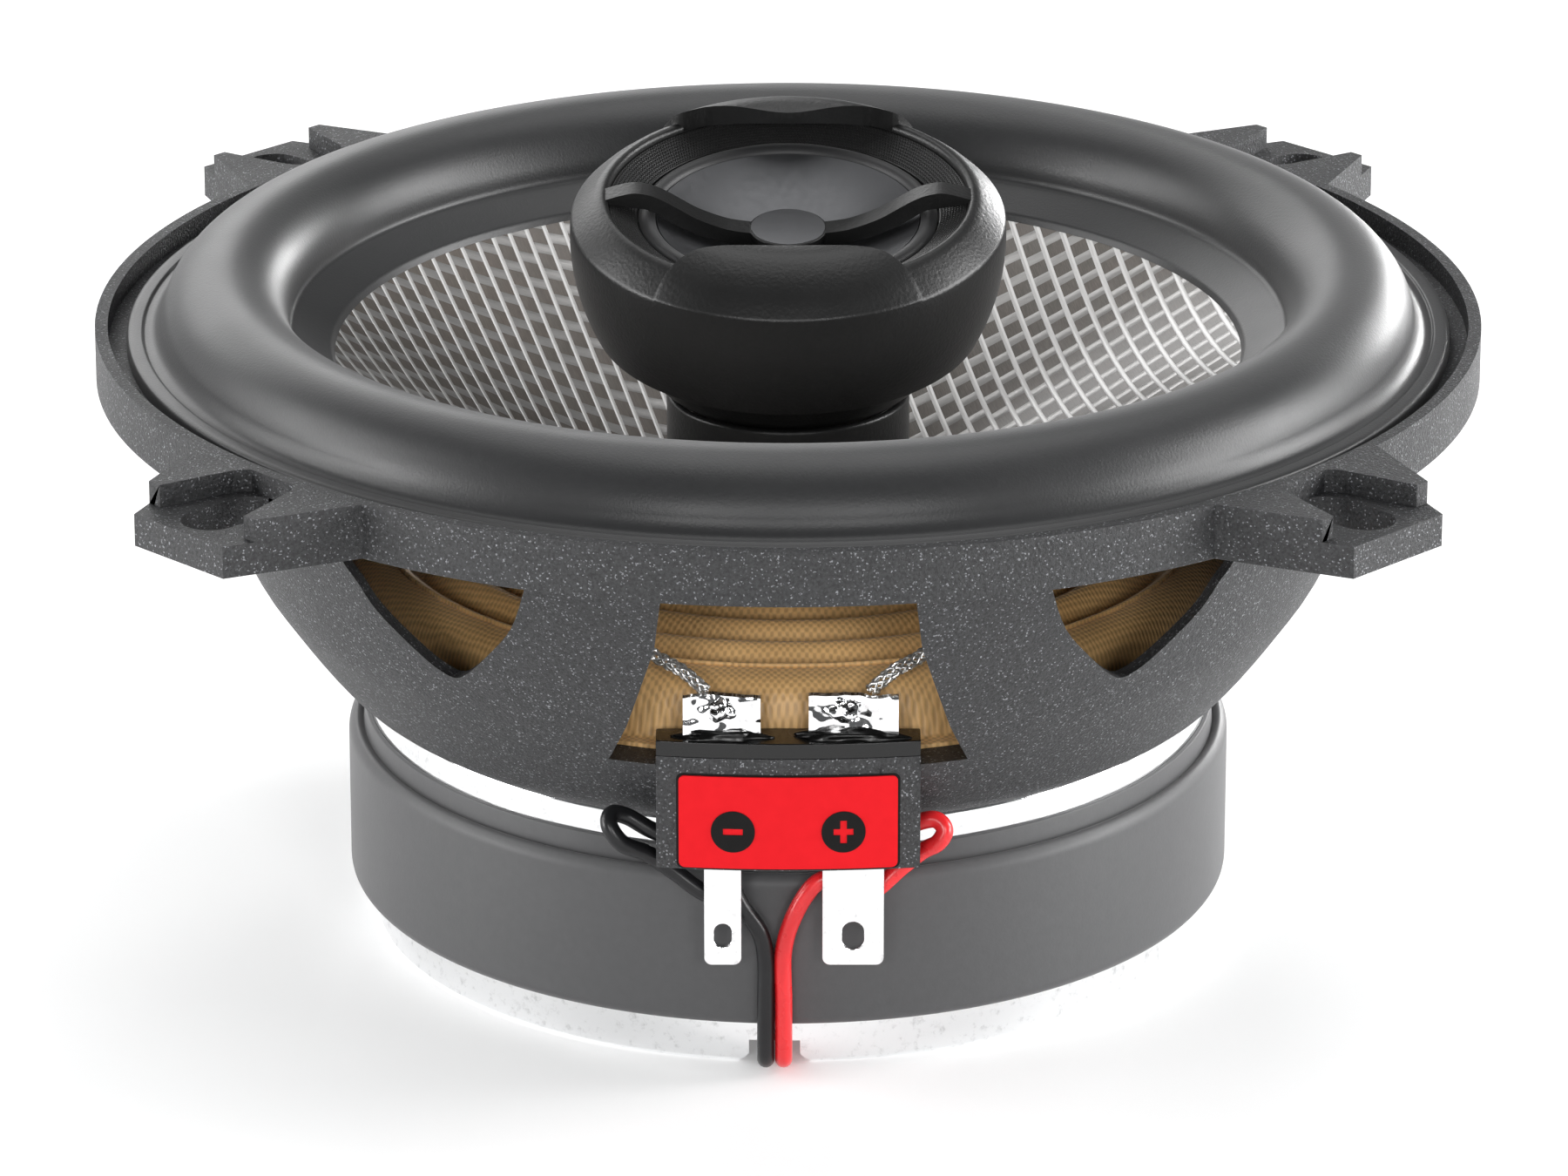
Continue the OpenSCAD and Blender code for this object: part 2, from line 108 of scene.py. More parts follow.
# %% Wire and Graph
class Wire:
    def __init__(self, graph, socket):
        self.graph, self.socket = graph, socket

    def math(self, operation, *others):
        return self.graph.node("ShaderNodeMath", self, *others, operation=operation)

    def __add__(self, other): return self.math("ADD", other)
    def __radd__(self, other): return self.math("ADD", other)
    def __sub__(self, other): return self.math("SUBTRACT", other)
    def __rsub__(self, other): return self.math("MULTIPLY", -1.0).math("ADD", other)
    def __mul__(self, other): return self.math("MULTIPLY", other)
    def __rmul__(self, other): return self.math("MULTIPLY", other)
    def __truediv__(self, other): return self.math("DIVIDE", other)
    def __pow__(self, other): return self.math("POWER", other)
    def __gt__(self, other): return self.math("GREATER_THAN", other)
    def __lt__(self, other): return self.math("LESS_THAN", other)
    def sin(self): return self.math("SINE")
    def cos(self): return self.math("COSINE")
    def frac(self): return self.math("FRACT")
    def floor(self): return self.math("FLOOR")

    def fade(self, low, high):
        """0 below low, 1 above high, and a smooth step between them."""
        return self.graph.node("ShaderNodeMapRange", self, low, high, 0.0, 1.0, interpolation_type="SMOOTHSTEP")


class Graph:
    def __init__(self, tree):
        self.tree = tree

    def feed(self, socket, value):
        if isinstance(value, Wire):
            self.tree.links.new(value.socket, socket)
        elif value is not None:
            socket.default_value = value

    def node(self, kind, *values, out=0, named=None, **settings):
        made = self.tree.nodes.new(kind)
        for key, value in settings.items():
            setattr(made, key, value)
        for socket, value in zip(made.inputs, values):
            self.feed(socket, value)
        for key, value in (named or {}).items():
            self.feed(made.inputs[key], value)
        return Wire(self, made.outputs[out])

    def parts(self, vector):
        made = self.tree.nodes.new("ShaderNodeSeparateXYZ")
        self.feed(made.inputs[0], vector)
        return [Wire(self, made.outputs[i]) for i in range(3)]

    def vector(self, x, y, z):
        return self.node("ShaderNodeCombineXYZ", x, y, z)

    def mix(self, factor, a, b):
        made = self.tree.nodes.new("ShaderNodeMix")
        made.data_type = "RGBA"
        for socket, value in zip((made.inputs[0], made.inputs[6], made.inputs[7]), (factor, a, b)):
            self.feed(socket, (*value, 1.0) if isinstance(value, tuple) else value)
        return Wire(self, made.outputs[2])


print("wires ready")

# %% [markdown]
# ## Finishes
# Every material is one Principled shader. What is the same all over a surface is set on the shader's own
# socket, and what varies is wired. Positions come from Object coordinates in millimetres, so a grain of
# 0.2 mm is 0.2 mm on every piece, whatever its shape.

# %% Finish
class Finish(Graph):
    def __init__(self, name, colour=(0.5, 0.5, 0.5), **constants):
        self.material = bpy.data.materials.new(name)
        self.material.use_nodes = True
        super().__init__(self.material.node_tree)
        self.shader = self.tree.nodes["Principled BSDF"]
        self.set(**{"Base Color": (*colour, 1.0), **{k.replace("_", " "): v for k, v in constants.items()}})
        self.spot = self.node("ShaderNodeTexCoord", out=3)
        self.mm = self.node("ShaderNodeVectorMath", self.spot, (1000.0, 1000.0, 1000.0), operation="MULTIPLY")

    def set(self, **sockets):
        for key, value in sockets.items():
            self.feed(self.shader.inputs[key.replace("_", " ")], value)
        return self

    def grain(self, size, detail=2.0, rough=0.5, where=None):
        """Cloudy noise from 0 to 1, whose lumps are about this many millimetres across."""
        return self.node("ShaderNodeTexNoise", named={"Vector": where or self.mm, "Scale": 1.0 / size,
                                                      "Detail": detail, "Roughness": rough}, noise_dimensions="3D")

    def cells(self, size, out="Color"):
        """Random cells about this many millimetres across."""
        return self.node("ShaderNodeTexVoronoi", out=out, named={
            "Vector": self.mm, "Scale": 1.0 / size, "Randomness": 1.0}, feature="F1")

    def bump(self, height, depth_mm):
        """Raises the surface by height (0 to 1) times depth_mm."""
        made = self.tree.nodes.new("ShaderNodeBump")
        made.inputs["Strength"].default_value = 1.0
        made.inputs["Distance"].default_value = depth_mm * MM
        self.feed(made.inputs["Height"], height)
        self.set(Normal=Wire(self, made.outputs[0]))
        return self


print("finish helper ready")

# %% [markdown]
# ## Painted and moulded finishes
# The basket is cast metal with a charcoal powder coat: matt, slightly pebbled, full of tiny bright flakes. The
# rubbers are matt with a soft sheen, and the tweeter's black plastic has a fine spark-eroded grain. All of
# them are a dark colour, a noise for the grain, and a second slow noise that keeps the gloss from being even.

# %% Powder coat, rubber and plastic
def powder_coat():
    f = Finish("basket_paint", (0.042, 0.043, 0.046), Roughness=0.5, Specular_IOR_Level=0.45)
    pebble = f.grain(0.30, 3.0, 0.6).fade(0.3, 0.7)
    flake = f.parts(f.cells(0.13))
    bright = (flake[0] > 0.93) * flake[1] * 0.75
    coat = f.mix(pebble, (0.012, 0.0123, 0.0132), (0.036, 0.0365, 0.0385))
    f.set(Base_Color=f.mix(bright, coat, (0.34, 0.35, 0.37)))
    f.set(Metallic=bright * 0.4, Roughness=f.grain(6.0) * 0.12 + 0.46 - bright * 0.15)
    return f.bump(pebble + flake[2] * 0.5, 0.045).material


def rubber(name, low, high, gloss, grain, depth):
    f = Finish(name, high, Sheen_Weight=0.12, Sheen_Roughness=0.5, Specular_IOR_Level=0.45)
    f.set(Base_Color=f.mix(f.grain(grain * 3, 3.0), low, high))
    f.set(Roughness=f.grain(9.0, 2.0) * 0.1 + gloss)
    return f.bump(f.grain(grain, 3.0, 0.6), depth).material


def black_plastic(name="satin_black", gloss=0.34, depth=0.022, shade=0.007):
    f = Finish(name, (shade, shade, shade), Specular_IOR_Level=0.45)
    f.set(Base_Color=f.mix(f.grain(0.6, 3.0), (shade * 0.8,) * 3, (shade * 1.2,) * 3))
    f.set(Roughness=f.grain(5.0) * 0.1 + gloss)
    return f.bump(f.grain(0.3, 2.0, 0.6) + f.cells(0.42, "Distance") * 0.6, depth).material


materials = {
    "basket_paint": powder_coat(),
    "surround_rubber": rubber(
        "surround_rubber", (0.015, 0.0153, 0.016), (0.021, 0.0215, 0.0225), 0.36, 0.26, 0.022),
    "boot_rubber": rubber("boot_rubber", (0.050, 0.050, 0.052), (0.062, 0.062, 0.064), 0.46, 0.3, 0.01),
    "dome_rubber": rubber("dome_rubber", (0.012, 0.012, 0.013), (0.020, 0.020, 0.021), 0.45, 0.2, 0.006),
    "satin_black": black_plastic(),
    "board": black_plastic("board", 0.22, 0.01, 0.0035),
    "mesh_black": black_plastic("mesh_black", 0.26, 0.004, 0.022),
}
print(len(materials), "finishes")

# %% [markdown]
# ## Metals
# The zinc-plated steel and the tinned terminals are mirrors that are not quite flat. A slow noise in the bump
# bends the reflections into the liquid shapes that plating has, and a finer one dulls them in places.

# %% Metals
def plated(name, colour, gloss, wave, depth, dust=0.12):
    f = Finish(name, colour, Metallic=1.0)
    worn = f.grain(1.1, 5.0, 0.7).fade(0.52, 0.75)
    f.set(Base_Color=f.mix(worn, colour, tuple(v * 0.72 for v in colour)), Roughness=worn * dust + gloss)
    return f.bump(f.grain(wave, 2.0, 0.5) + f.grain(0.5, 2.0) * 0.06, depth).material


def flat_metal(name, colour, gloss):
    f = Finish(name, colour, Metallic=1.0)
    f.set(Roughness=f.grain(0.8, 4.0) * 0.15 + gloss)
    return f.bump(f.grain(0.25, 2.0), 0.006).material


materials.update({
    "zinc": plated("zinc", (0.88, 0.885, 0.89), 0.10, 3.5, 0.05),
    "terminal_tin": plated("terminal_tin", (0.93, 0.93, 0.935), 0.07, 3.0, 0.10, 0.06),
    "solder": plated("solder", (0.86, 0.865, 0.87), 0.12, 0.9, 0.12),
    "dome_metal": flat_metal("dome_metal", (0.15, 0.152, 0.158), 0.38),
    "steel": flat_metal("steel", (0.48, 0.49, 0.50), 0.3),
    "neodymium": flat_metal("neodymium", (0.55, 0.56, 0.58), 0.2),
    "copper": flat_metal("copper", (0.62, 0.26, 0.12), 0.3),
    "tinsel": flat_metal("tinsel", (0.80, 0.80, 0.79), 0.24),
})
print(len(materials), "finishes")

# %% [markdown]
# ## Plain coloured plastics
# Wire insulation, the label film, the capacitor's sleeve and a few hidden pieces. Each still has its own small
# unevenness, because a perfectly even colour looks painted on.

# %% Coloured plastics
def coloured(name, low, high, gloss, grain=1.2, depth=0.01, **more):
    f = Finish(name, high, **more)
    f.set(Base_Color=f.mix(f.grain(grain, 4.0), low, high), Roughness=f.grain(grain * 2) * 0.12 + gloss)
    return f.bump(f.grain(grain * 0.5, 3.0), depth).material


MATT = {"Specular_IOR_Level": 0.12}
materials.update({
    "label_red": coloured("label_red", (0.62, 0.005, 0.010), (0.70, 0.008, 0.014), 0.45, **MATT),
    "mark_black": coloured("mark_black", (0.005, 0.005, 0.005), (0.009, 0.008, 0.008), 0.45, **MATT),
    "wire_black": coloured(
        "wire_black", (0.006, 0.006, 0.007), (0.012, 0.012, 0.013), 0.28, Specular_IOR_Level=0.35),
    "wire_red": coloured("wire_red", (0.58, 0.010, 0.014), (0.74, 0.022, 0.026), 0.22),
    "capacitor_sleeve": coloured("capacitor_sleeve", (0.010, 0.018, 0.07), (0.014, 0.026, 0.09), 0.2),
    "former": coloured("former", (0.26, 0.27, 0.22), (0.34, 0.35, 0.29), 0.45, 0.5),
    "nylon": coloured("nylon", (0.66, 0.64, 0.58), (0.76, 0.74, 0.68), 0.4),
    "ferrite": coloured("ferrite", (0.022, 0.022, 0.023), (0.040, 0.040, 0.042), 0.5, 0.8, 0.04),
})
print(len(materials), "finishes")

# %% [markdown]
# ## Woven glass for the cone
# The cone is one disc of woven glass fibre, pressed to shape and varnished. Wide flat yarns run nearly towards
# the terminals, with a thin yarn between each pair, and flat yarns cross them, over and under. It could
# be modelled thread by thread, but on a disc this size the formula does as well: `u` counts the columns, `v`
# counts the crossings, and every other column is shifted by half a step. Fibres are noise stretched along
# their yarn. The crossing yarns are the glossier ones, so they flash where a light is mirrored in them. The
# crossing yarns and the thin yarn are also coloured paler than the wide yarns. This is partly the glass's own
# colour and partly a painted reflection on the crossing yarns and a painted highlight on the thin yarn.

# %% Cone weave
HALF_ROOT = 0.70711


def glass_weave():
    f = Finish("cone_weave", (0.3, 0.3, 0.3), Coat_Weight=0.35, Coat_Roughness=0.18)
    x, y, z = f.parts(f.mm)
    side, ahead = (x + y) * HALF_ROOT, (y - x) * HALF_ROOT
    column_pitch, crossing_pitch, thin_yarn, dive = 1.85, 3.0, 0.25, 0.60
    u = (side + ahead * 0.33) / (ahead * 0.0038 + 1.0) / column_pitch
    v = (ahead - side * 0.19) / crossing_pitch
    column, s = u.floor(), u.frac()
    t = (v + column * 0.5).frac()
    stripe = s < thin_yarn
    under = (t < dive) * (1.0 - stripe)
    over = (1.0 - stripe) * (1.0 - under)
    across, along = (s - thin_yarn) / (1 - thin_yarn), (t - dive) / (1 - dive)
    lengthwise = f.grain(1.0, 3.0, 0.6, where=f.vector(u * 26.0, v * 2.4, column * 7.3))
    crosswise = f.grain(1.0, 3.0, 0.6, where=f.vector(u * 2.0, v * 70.0, z * 0.2))
    tint = f.grain(2.6, 2.0)
    dark = f.mix(lengthwise, (0.045, 0.038, 0.033), f.mix(tint, (0.21, 0.168, 0.145), (0.165, 0.160, 0.138)))
    # crossing yarns: a pale grey that is partly their own colour and partly a painted reflection
    crossing_and_painted_sheen = f.mix(crosswise, (0.26, 0.25, 0.24), (0.56, 0.55, 0.54))
    # thin yarn: a near-white colour that is partly a painted highlight on its ridge
    colour = f.mix(stripe, f.mix(over, dark, crossing_and_painted_sheen), (0.66, 0.65, 0.64))
    f.set(Base_Color=colour, Metallic=over * 0.55 + stripe * 0.3 + 0.05)
    f.set(Roughness=0.42 - over * 0.14 - stripe * 0.08)
    hump = (1.0 - (across * 2.0 - 1.0) ** 2.0) * 0.35
    arch = (1.0 - (along * 2.0 - 1.0) ** 2.0) * 0.8
    ridge = (1.0 - (s * 8.0 - 1.0) ** 2.0) * 0.75
    height = under * (hump + 0.35 + lengthwise * 0.12) + over * (arch + 0.15 + crosswise * 0.12) + stripe * ridge
    return f.bump(height, 0.10).material


materials["cone_weave"] = glass_weave()
print("cone weave ready")

# %% [markdown]
# ## Canvas for the spider
# The spider, the springy ring that centres the voice coil, is cotton canvas stiffened with brown resin. Its
# threads are 0.36 mm apart. The product of two sine waves is a good plain weave: it is high where one
# thread crosses over and low where it dives under the next. Where it is low, the colour is darkened towards
# a deep brown. This is painted shade between the threads.

# %% Spider canvas
def canvas():
    f = Finish("spider_cloth", (0.4, 0.2, 0.06), Specular_IOR_Level=0.55, Sheen_Weight=0.15)
    x, y, _ = f.parts(f.mm)
    side, ahead = (x + y) * HALF_ROOT, (y - x) * HALF_ROOT
    wobble = f.grain(3.0, 2.0) * 0.5
    thread = math.pi / 0.36
    weave = ((side + wobble) * thread).sin() * ((ahead + wobble) * thread).sin() * 0.5 + 0.5
    slub = f.grain(0.5, 4.0, 0.7)
    resin = f.grain(7.0, 3.0)
    base = f.mix(resin, (0.74, 0.43, 0.16), (0.88, 0.56, 0.24))
    # painted shade: the low dips of the weave, between the threads, are darkened towards a deep brown
    shaded_gap = f.mix(0.45, base, (0.12, 0.050, 0.012))
    f.set(Base_Color=f.mix(weave.fade(0.1, 0.75) * 0.75 + slub * 0.25, shaded_gap, base))
    f.set(Roughness=slub * 0.2 + 0.36)
    return f.bump(weave + slub * 0.5, 0.06).material


materials["spider_cloth"] = canvas()
print("canvas ready")

# %% [markdown]
# ## Dressing the CAD nodes
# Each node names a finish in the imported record. Nodes that keep their CAD shape get it here, and pieces that
# replace a node look their finish up in the same way.

# %% Materials on the CAD nodes
slot_of = {part["node"]: part["material_slot"] for part in frame["record"]["subparts"]}
for name, thing in nodes.items():
    thing.data.materials.clear()
    thing.data.materials.append(materials[slot_of[name]])
print(len(nodes), "nodes dressed,", len(set(slot_of.values())), "finishes used")

# %% [markdown]
# ## Turned pieces
# Half of a loudspeaker is turned or pressed round one axis. `lathe` takes a closed outline of radius and
# height and spins it. A third number rounds a corner, because real edges catch the light and a perfectly
# sharp one never does. Normals are recalculated once the ring is closed, so that every face points outwards.

# %% Meshes and the lathe
def new_piece(name, points, faces, finish, smooth=True, sharp=None):
    mesh = bpy.data.meshes.new(name)
    mesh.from_pydata([tuple(p) for p in points], [], faces)
    work = bmesh.new()
    work.from_mesh(mesh)
    bmesh.ops.remove_doubles(work, verts=work.verts, dist=1e-6)
    bmesh.ops.recalc_face_normals(work, faces=work.faces)
    work.to_mesh(mesh)
    work.free()
    if smooth:
        mesh.shade_smooth()
    if sharp:
        mesh.set_sharp_from_angle(angle=math.radians(sharp))
    mesh.materials.append(materials[finish])
    made = bpy.data.objects.new(name, mesh)
    bpy.context.scene.collection.objects.link(made)
    return made


def rounded(outline, steps=4):
    """Replaces each corner that has a third number by an arc of about that radius."""
    done = []
    for i, corner in enumerate(outline):
        here = Vector(corner[:2])
        if len(corner) < 3:
            done.append(here)
            continue
        before = Vector(outline[i - 1][:2]) - here
        after = Vector(outline[(i + 1) % len(outline)][:2]) - here
        a = here + before.normalized() * min(corner[2], before.length * 0.49)
        b = here + after.normalized() * min(corner[2], after.length * 0.49)
        for k in range(steps + 1):
            t = k / steps
            done.append(a * (1 - t) ** 2 + here * 2 * t * (1 - t) + b * t * t)
    return done


def spun(outline, turns, place):
    ring = rounded(outline)
    n = len(ring)
    points = [place(p[0] * math.sin(2 * math.pi * k / turns), -p[0] * math.cos(2 * math.pi * k / turns), p[1])
              for k in range(turns) for p in ring]
    faces = [(k * n + i, k * n + (i + 1) % n, (k + 1) % turns * n + (i + 1) % n, (k + 1) % turns * n + i)
             for k in range(turns) for i in range(n)]
    return points, faces


def lathe(name, outline, finish, body, replaces=(), turns=240, place=bench, sharp=40):
    made = new_piece(name, *spun(outline, turns, place), finish, sharp=sharp)
    if body:
        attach(made, body)
    if replaces:
        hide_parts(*replaces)
    return made


print("lathe ready")

# %% [markdown]
# ## The motor
# From the bottom: a zinc-plated back plate, the ferrite ring inside its rubber boot, and a zinc-plated top
# plate. The boot is a moulded sleeve with a soft outer edge and a thin lip that stands up round the top plate.

# %% Boot and top plate
BASE, MAGNET_LOW, FOOT = -54.8, -50.0, -30.5
boot = lathe("boot", [
    (40.02, MAGNET_LOW + 0.02), (41.5, MAGNET_LOW, 0.3), (41.95, -49.4, 0.5), (41.95, -35.9, 0.55),
    (41.3, -35.1, 0.35), (40.9, -35.15, 0.2), (40.5, -35.45, 0.15), (40.42, -33.25, 0.12), (40.03, -33.2)],
    "boot_rubber", "frame", ["magnet_boot"], 300)
lathe("top_plate_ring", [
    (13.75, FOOT - 5), (40.0, FOOT - 5), (40.0, FOOT, 0.5), (13.75, FOOT, 0.4)],
    "zinc", "frame", ["top_plate"], 300)
print("boot and top plate", [round(v * 1000, 1) for v in boot.dimensions])

# %% [markdown]
# ## The surround
# A half roll of butyl rubber, glued to the flange outside and to the cone inside. A surround exists to bend:
# its outer lip follows the basket and its inner ring follows the cone. Here its weights by radius are only
# worked out and printed. They are not applied, and the roll stays rigid on no body.

# %% Surround
def radial_weights(piece, outside, inside, back=Matrix()):
    """0 outside the outer radius, 1 inside the inner one, and a smooth step between. back turns the axis to Z."""
    reach = [(back @ v.co).xy.length / MM for v in piece.data.vertices]
    steps = [min(1.0, max(0.0, (outside - r) / (outside - inside))) for r in reach]
    weights = [s * s * (3 - 2 * s) for s in steps]
    return min(weights), max(weights)


def circle_part(x, z, r, degrees):
    """Points of an outline on part of a circle."""
    return [(x + r * math.cos(math.radians(a)), z + r * math.sin(math.radians(a))) for a in degrees]


roll, skin = (52.85, 4.4, 6.05), 0.8
surround_outline = (
    [(62.05, 3.0), (62.05, 4.15, 0.3), (61.7, 4.4, 0.3), (60.6, 4.4, 0.15), (60.45, 4.2, 0.15), (59.6, 4.25, 0.5)]
    + circle_part(*roll, range(8, 173, 6))
    + [(46.85, 4.5, 0.4), (46.6, 4.15, 0.3), (46.2, 4.0, 0.3), (42.9, 2.32, 0.25), (42.6, 1.66)]
    + [(46.9, 4.2), (47.55, 4.55, 0.3)]
    + circle_part(roll[0], roll[1], roll[2] - skin, range(170, 7, -6))
    + [(58.1, 4.0, 0.3), (58.1, 3.0)])
surround = lathe("surround_roll", surround_outline, "surround_rubber", None, ["surround"], 300, sharp=60)
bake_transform(surround)
print("surround weights", radial_weights(surround, 58.4, 47.2))

# %% [markdown]
# ## The cone
# A shallow cone of the woven glass, 0.7 mm thick, down to a short neck glued on the coil's former.

# %% Cone
NECK, NECK_TOP, CONE_EDGE, RISE, WALL = 13.2, -16.0, 47.0, 0.6, 0.7


def cone_height(r):
    return NECK_TOP + (r - NECK) * RISE


cone_top = [(r, cone_height(r)) for r in range(45, 14, -2)]
cone_piece = lathe("cone_shell", [
    (12.97, NECK_TOP - 1), (13.5, NECK_TOP - 1), (13.6, cone_height(13.6) - WALL),
    (CONE_EDGE, cone_height(CONE_EDGE) - WALL), (CONE_EDGE, cone_height(CONE_EDGE))]
    + cone_top + [(NECK, NECK_TOP, 0.2), (12.97, NECK_TOP)],
    "cone_weave", "cone", ["cone"], 240)
print("cone", [round(v * 1000, 1) for v in cone_piece.dimensions])

# %% [markdown]
# ## The spider, by rule
# Its shape is a rule: a ripple of fixed pitch and height on a disc, so Geometry Nodes make it. A grid's x is
# the way outwards and its y is the angle, and one Set Position node wraps it round. The sizes are inputs of the
# tree. The result is baked to a plain mesh and given a thickness. Its weights by radius are worked out and
# printed but not applied, so it stays rigid on no body. The skirt that stands on the basket's ledge doesn't
# move, so it is turned on its own and rides on the frame.

# %% Geometry trees and baking
def geometry_tree(name, inputs):
    tree = bpy.data.node_groups.new(name, "GeometryNodeTree")
    for label, kind, value in inputs:
        socket = tree.interface.new_socket(name=label, in_out="INPUT", socket_type=kind)
        if value is not None:
            socket.default_value = value
    tree.interface.new_socket(name="Geometry", in_out="OUTPUT", socket_type="NodeSocketGeometry")
    graph = Graph(tree)
    entry = tree.nodes.new("NodeGroupInput")
    wires = {label: Wire(graph, entry.outputs[label]) for label, _, _ in inputs}
    return graph, wires


def finish_tree(graph, geometry, finish):
    solid = graph.node("GeometryNodeRealizeInstances", geometry)
    dressed = graph.node("GeometryNodeSetMaterial", solid, named={"Material": materials[finish]})
    leave = graph.tree.nodes.new("NodeGroupOutput")
    graph.feed(leave.inputs["Geometry"], dressed)


def bake(name, tree, settings, finish):
    """Runs a tree on an empty object and returns what it makes as a plain mesh object."""
    host = bpy.data.objects.new(name + "_host", bpy.data.meshes.new(name + "_host"))
    bpy.context.scene.collection.objects.link(host)
    modifier = host.modifiers.new(name, "NODES")
    modifier.node_group = tree
    sockets = {item.name: item.identifier for item in tree.interface.items_tree if item.in_out == "INPUT"}
    for label, value in settings.items():
        modifier[sockets[label]] = value
    host.update_tag()
    graph = bpy.context.evaluated_depsgraph_get()
    mesh = bpy.data.meshes.new_from_object(host.evaluated_get(graph), depsgraph=graph)
    bpy.data.objects.remove(host)
    mesh.name = name
    mesh.materials.clear()
    mesh.materials.append(materials[finish])
    for face in mesh.polygons:
        face.material_index = 0
    made = bpy.data.objects.new(name, mesh)
    bpy.context.scene.collection.objects.link(made)
    return made


def facing_out(piece):
    """Turns every face of a piece the same way."""
    work = bmesh.new()
    work.from_mesh(piece.data)
    bmesh.ops.recalc_face_normals(work, faces=work.faces)
    work.to_mesh(piece.data)
    work.free()
    piece.data.update()
    return piece


def apply_modifiers(piece):
    """Turns a piece's modifiers into plain mesh."""
    graph = bpy.context.evaluated_depsgraph_get()
    mesh = bpy.data.meshes.new_from_object(piece.evaluated_get(graph), depsgraph=graph)
    piece.modifiers.clear()
    piece.data = mesh
    return piece


print("geometry helpers ready")

# %% Spider tree
def ripple_tree():
    g, w = geometry_tree("ripple", [
        ("Inner", "NodeSocketFloat", 12.95), ("Outer", "NodeSocketFloat", 38.9), ("Ripple", "NodeSocketFloat", 5.5),
        ("Height", "NodeSocketFloat", 1.1), ("Level", "NodeSocketFloat", -17.0),
        ("Rings", "NodeSocketInt", 190), ("Turns", "NodeSocketInt", 240)])
    grid = g.node("GeometryNodeMeshGrid", 1.0, 1.0, w["Rings"], w["Turns"])
    gx, gy, _ = g.parts(g.node("GeometryNodeInputPosition"))
    r = w["Inner"] + (w["Outer"] - w["Inner"]) * (gx + 0.5)
    angle = (gy + 0.5) * (2 * math.pi)
    z = w["Level"] + w["Height"] * ((r - w["Outer"]) * (2 * math.pi) / w["Ripple"]).cos()
    place = g.vector(r * angle.cos() * MM, r * angle.sin() * MM, z * MM)
    moved = g.node("GeometryNodeSetPosition", grid, None, place)
    joined = g.node("GeometryNodeMergeByDistance", moved, named={"Distance": 1e-6})
    finish_tree(g, joined, "spider_cloth")
    return g.tree


spider = bake("spider_ripples", ripple_tree(), {"Rings": 150, "Turns": 300}, "spider_cloth")
print("spider ripples:", len(spider.data.vertices), "points")

# %% Thickness, skirt and blend of the spider
LEDGE = -22.28


def thicken(piece, depth_mm):
    solid = piece.modifiers.new("wall", "SOLIDIFY")
    solid.thickness, solid.offset, solid.use_rim = depth_mm * MM, -1, True
    return apply_modifiers(piece)


thicken(facing_out(spider), 0.4)
spider.data.shade_smooth()
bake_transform(spider)
print("spider weights", radial_weights(spider, 38.9, 14.5))
lathe("spider_skirt", [
    (38.6, -15.88), (39.3, -15.86, 0.4), (41.0, -16.35, 1.2), (42.3, -18.2, 1.8), (42.75, -21.88, 0.5),
    (44.3, -21.9, 0.2), (44.3, LEDGE), (42.2, LEDGE, 0.3), (41.9, -18.6, 1.6), (40.7, -16.85, 1.0),
    (39.2, -16.28, 0.3), (38.6, -16.3)],
    "spider_cloth", "frame", ["spider"], 240)

# %% [markdown]
# ## Joining shapes and breaking edges
# Cast and moulded parts are unions of simple shapes with their edges broken. `joined` and `cut` use the exact
# Boolean solver, and `broken_edges` puts a small round on every corner that is left, then weights the normals
# so that big faces stay flat. Pieces are built round the origin and moved to their place in the mesh itself.

# %% Boolean helpers
def plain(x, y, z):
    return Vector((x, y, z)) * MM


def prism(outline, low, high, name="shape"):
    n = len(outline)
    points = [plain(x, y, z) for z in (low, high) for x, y in outline]
    faces = [tuple(range(n)), tuple(range(n, 2 * n))] + [(i, (i + 1) % n, n + (i + 1) % n, n + i) for i in range(n)]
    return new_piece(name, points, faces, "satin_black", smooth=False)


def turned(piece, matrix):
    piece.data.transform(matrix)
    return piece


def upright(piece):
    """Stands a shape drawn in x and y up, so that its y becomes height and its depth runs towards -Y."""
    return turned(piece, Matrix.Rotation(math.radians(90), 4, "X"))


def combined(piece, other, operation):
    step = piece.modifiers.new(operation, "BOOLEAN")
    step.operation, step.solver, step.object = operation, "EXACT", other
    apply_modifiers(piece)
    bpy.data.objects.remove(other)
    return piece


def joined(piece, *others):
    for other in others:
        combined(piece, other, "UNION")
    return piece


def cut(piece, *others):
    for other in others:
        combined(piece, other, "DIFFERENCE")
    return piece


def common(piece, other):
    return combined(piece, other, "INTERSECT")


def broken_edges(piece, width_mm, angle=34, steps=2):
    work = bmesh.new()
    work.from_mesh(piece.data)
    bmesh.ops.remove_doubles(work, verts=work.verts, dist=2e-6)
    bmesh.ops.dissolve_limit(work, angle_limit=math.radians(0.2), verts=work.verts, edges=work.edges)
    work.to_mesh(piece.data)
    work.free()
    bevel = piece.modifiers.new("edges", "BEVEL")
    bevel.width, bevel.segments, bevel.limit_method = width_mm * MM, steps, "ANGLE"
    bevel.angle_limit = math.radians(angle)
    bevel.use_clamp_overlap = True
    bevel.miter_outer = "MITER_ARC"
    apply_modifiers(piece)
    piece.data.shade_smooth()
    weigh = piece.modifiers.new("normals", "WEIGHTED_NORMAL")
    weigh.weight, weigh.keep_sharp = 80, True
    return apply_modifiers(piece)


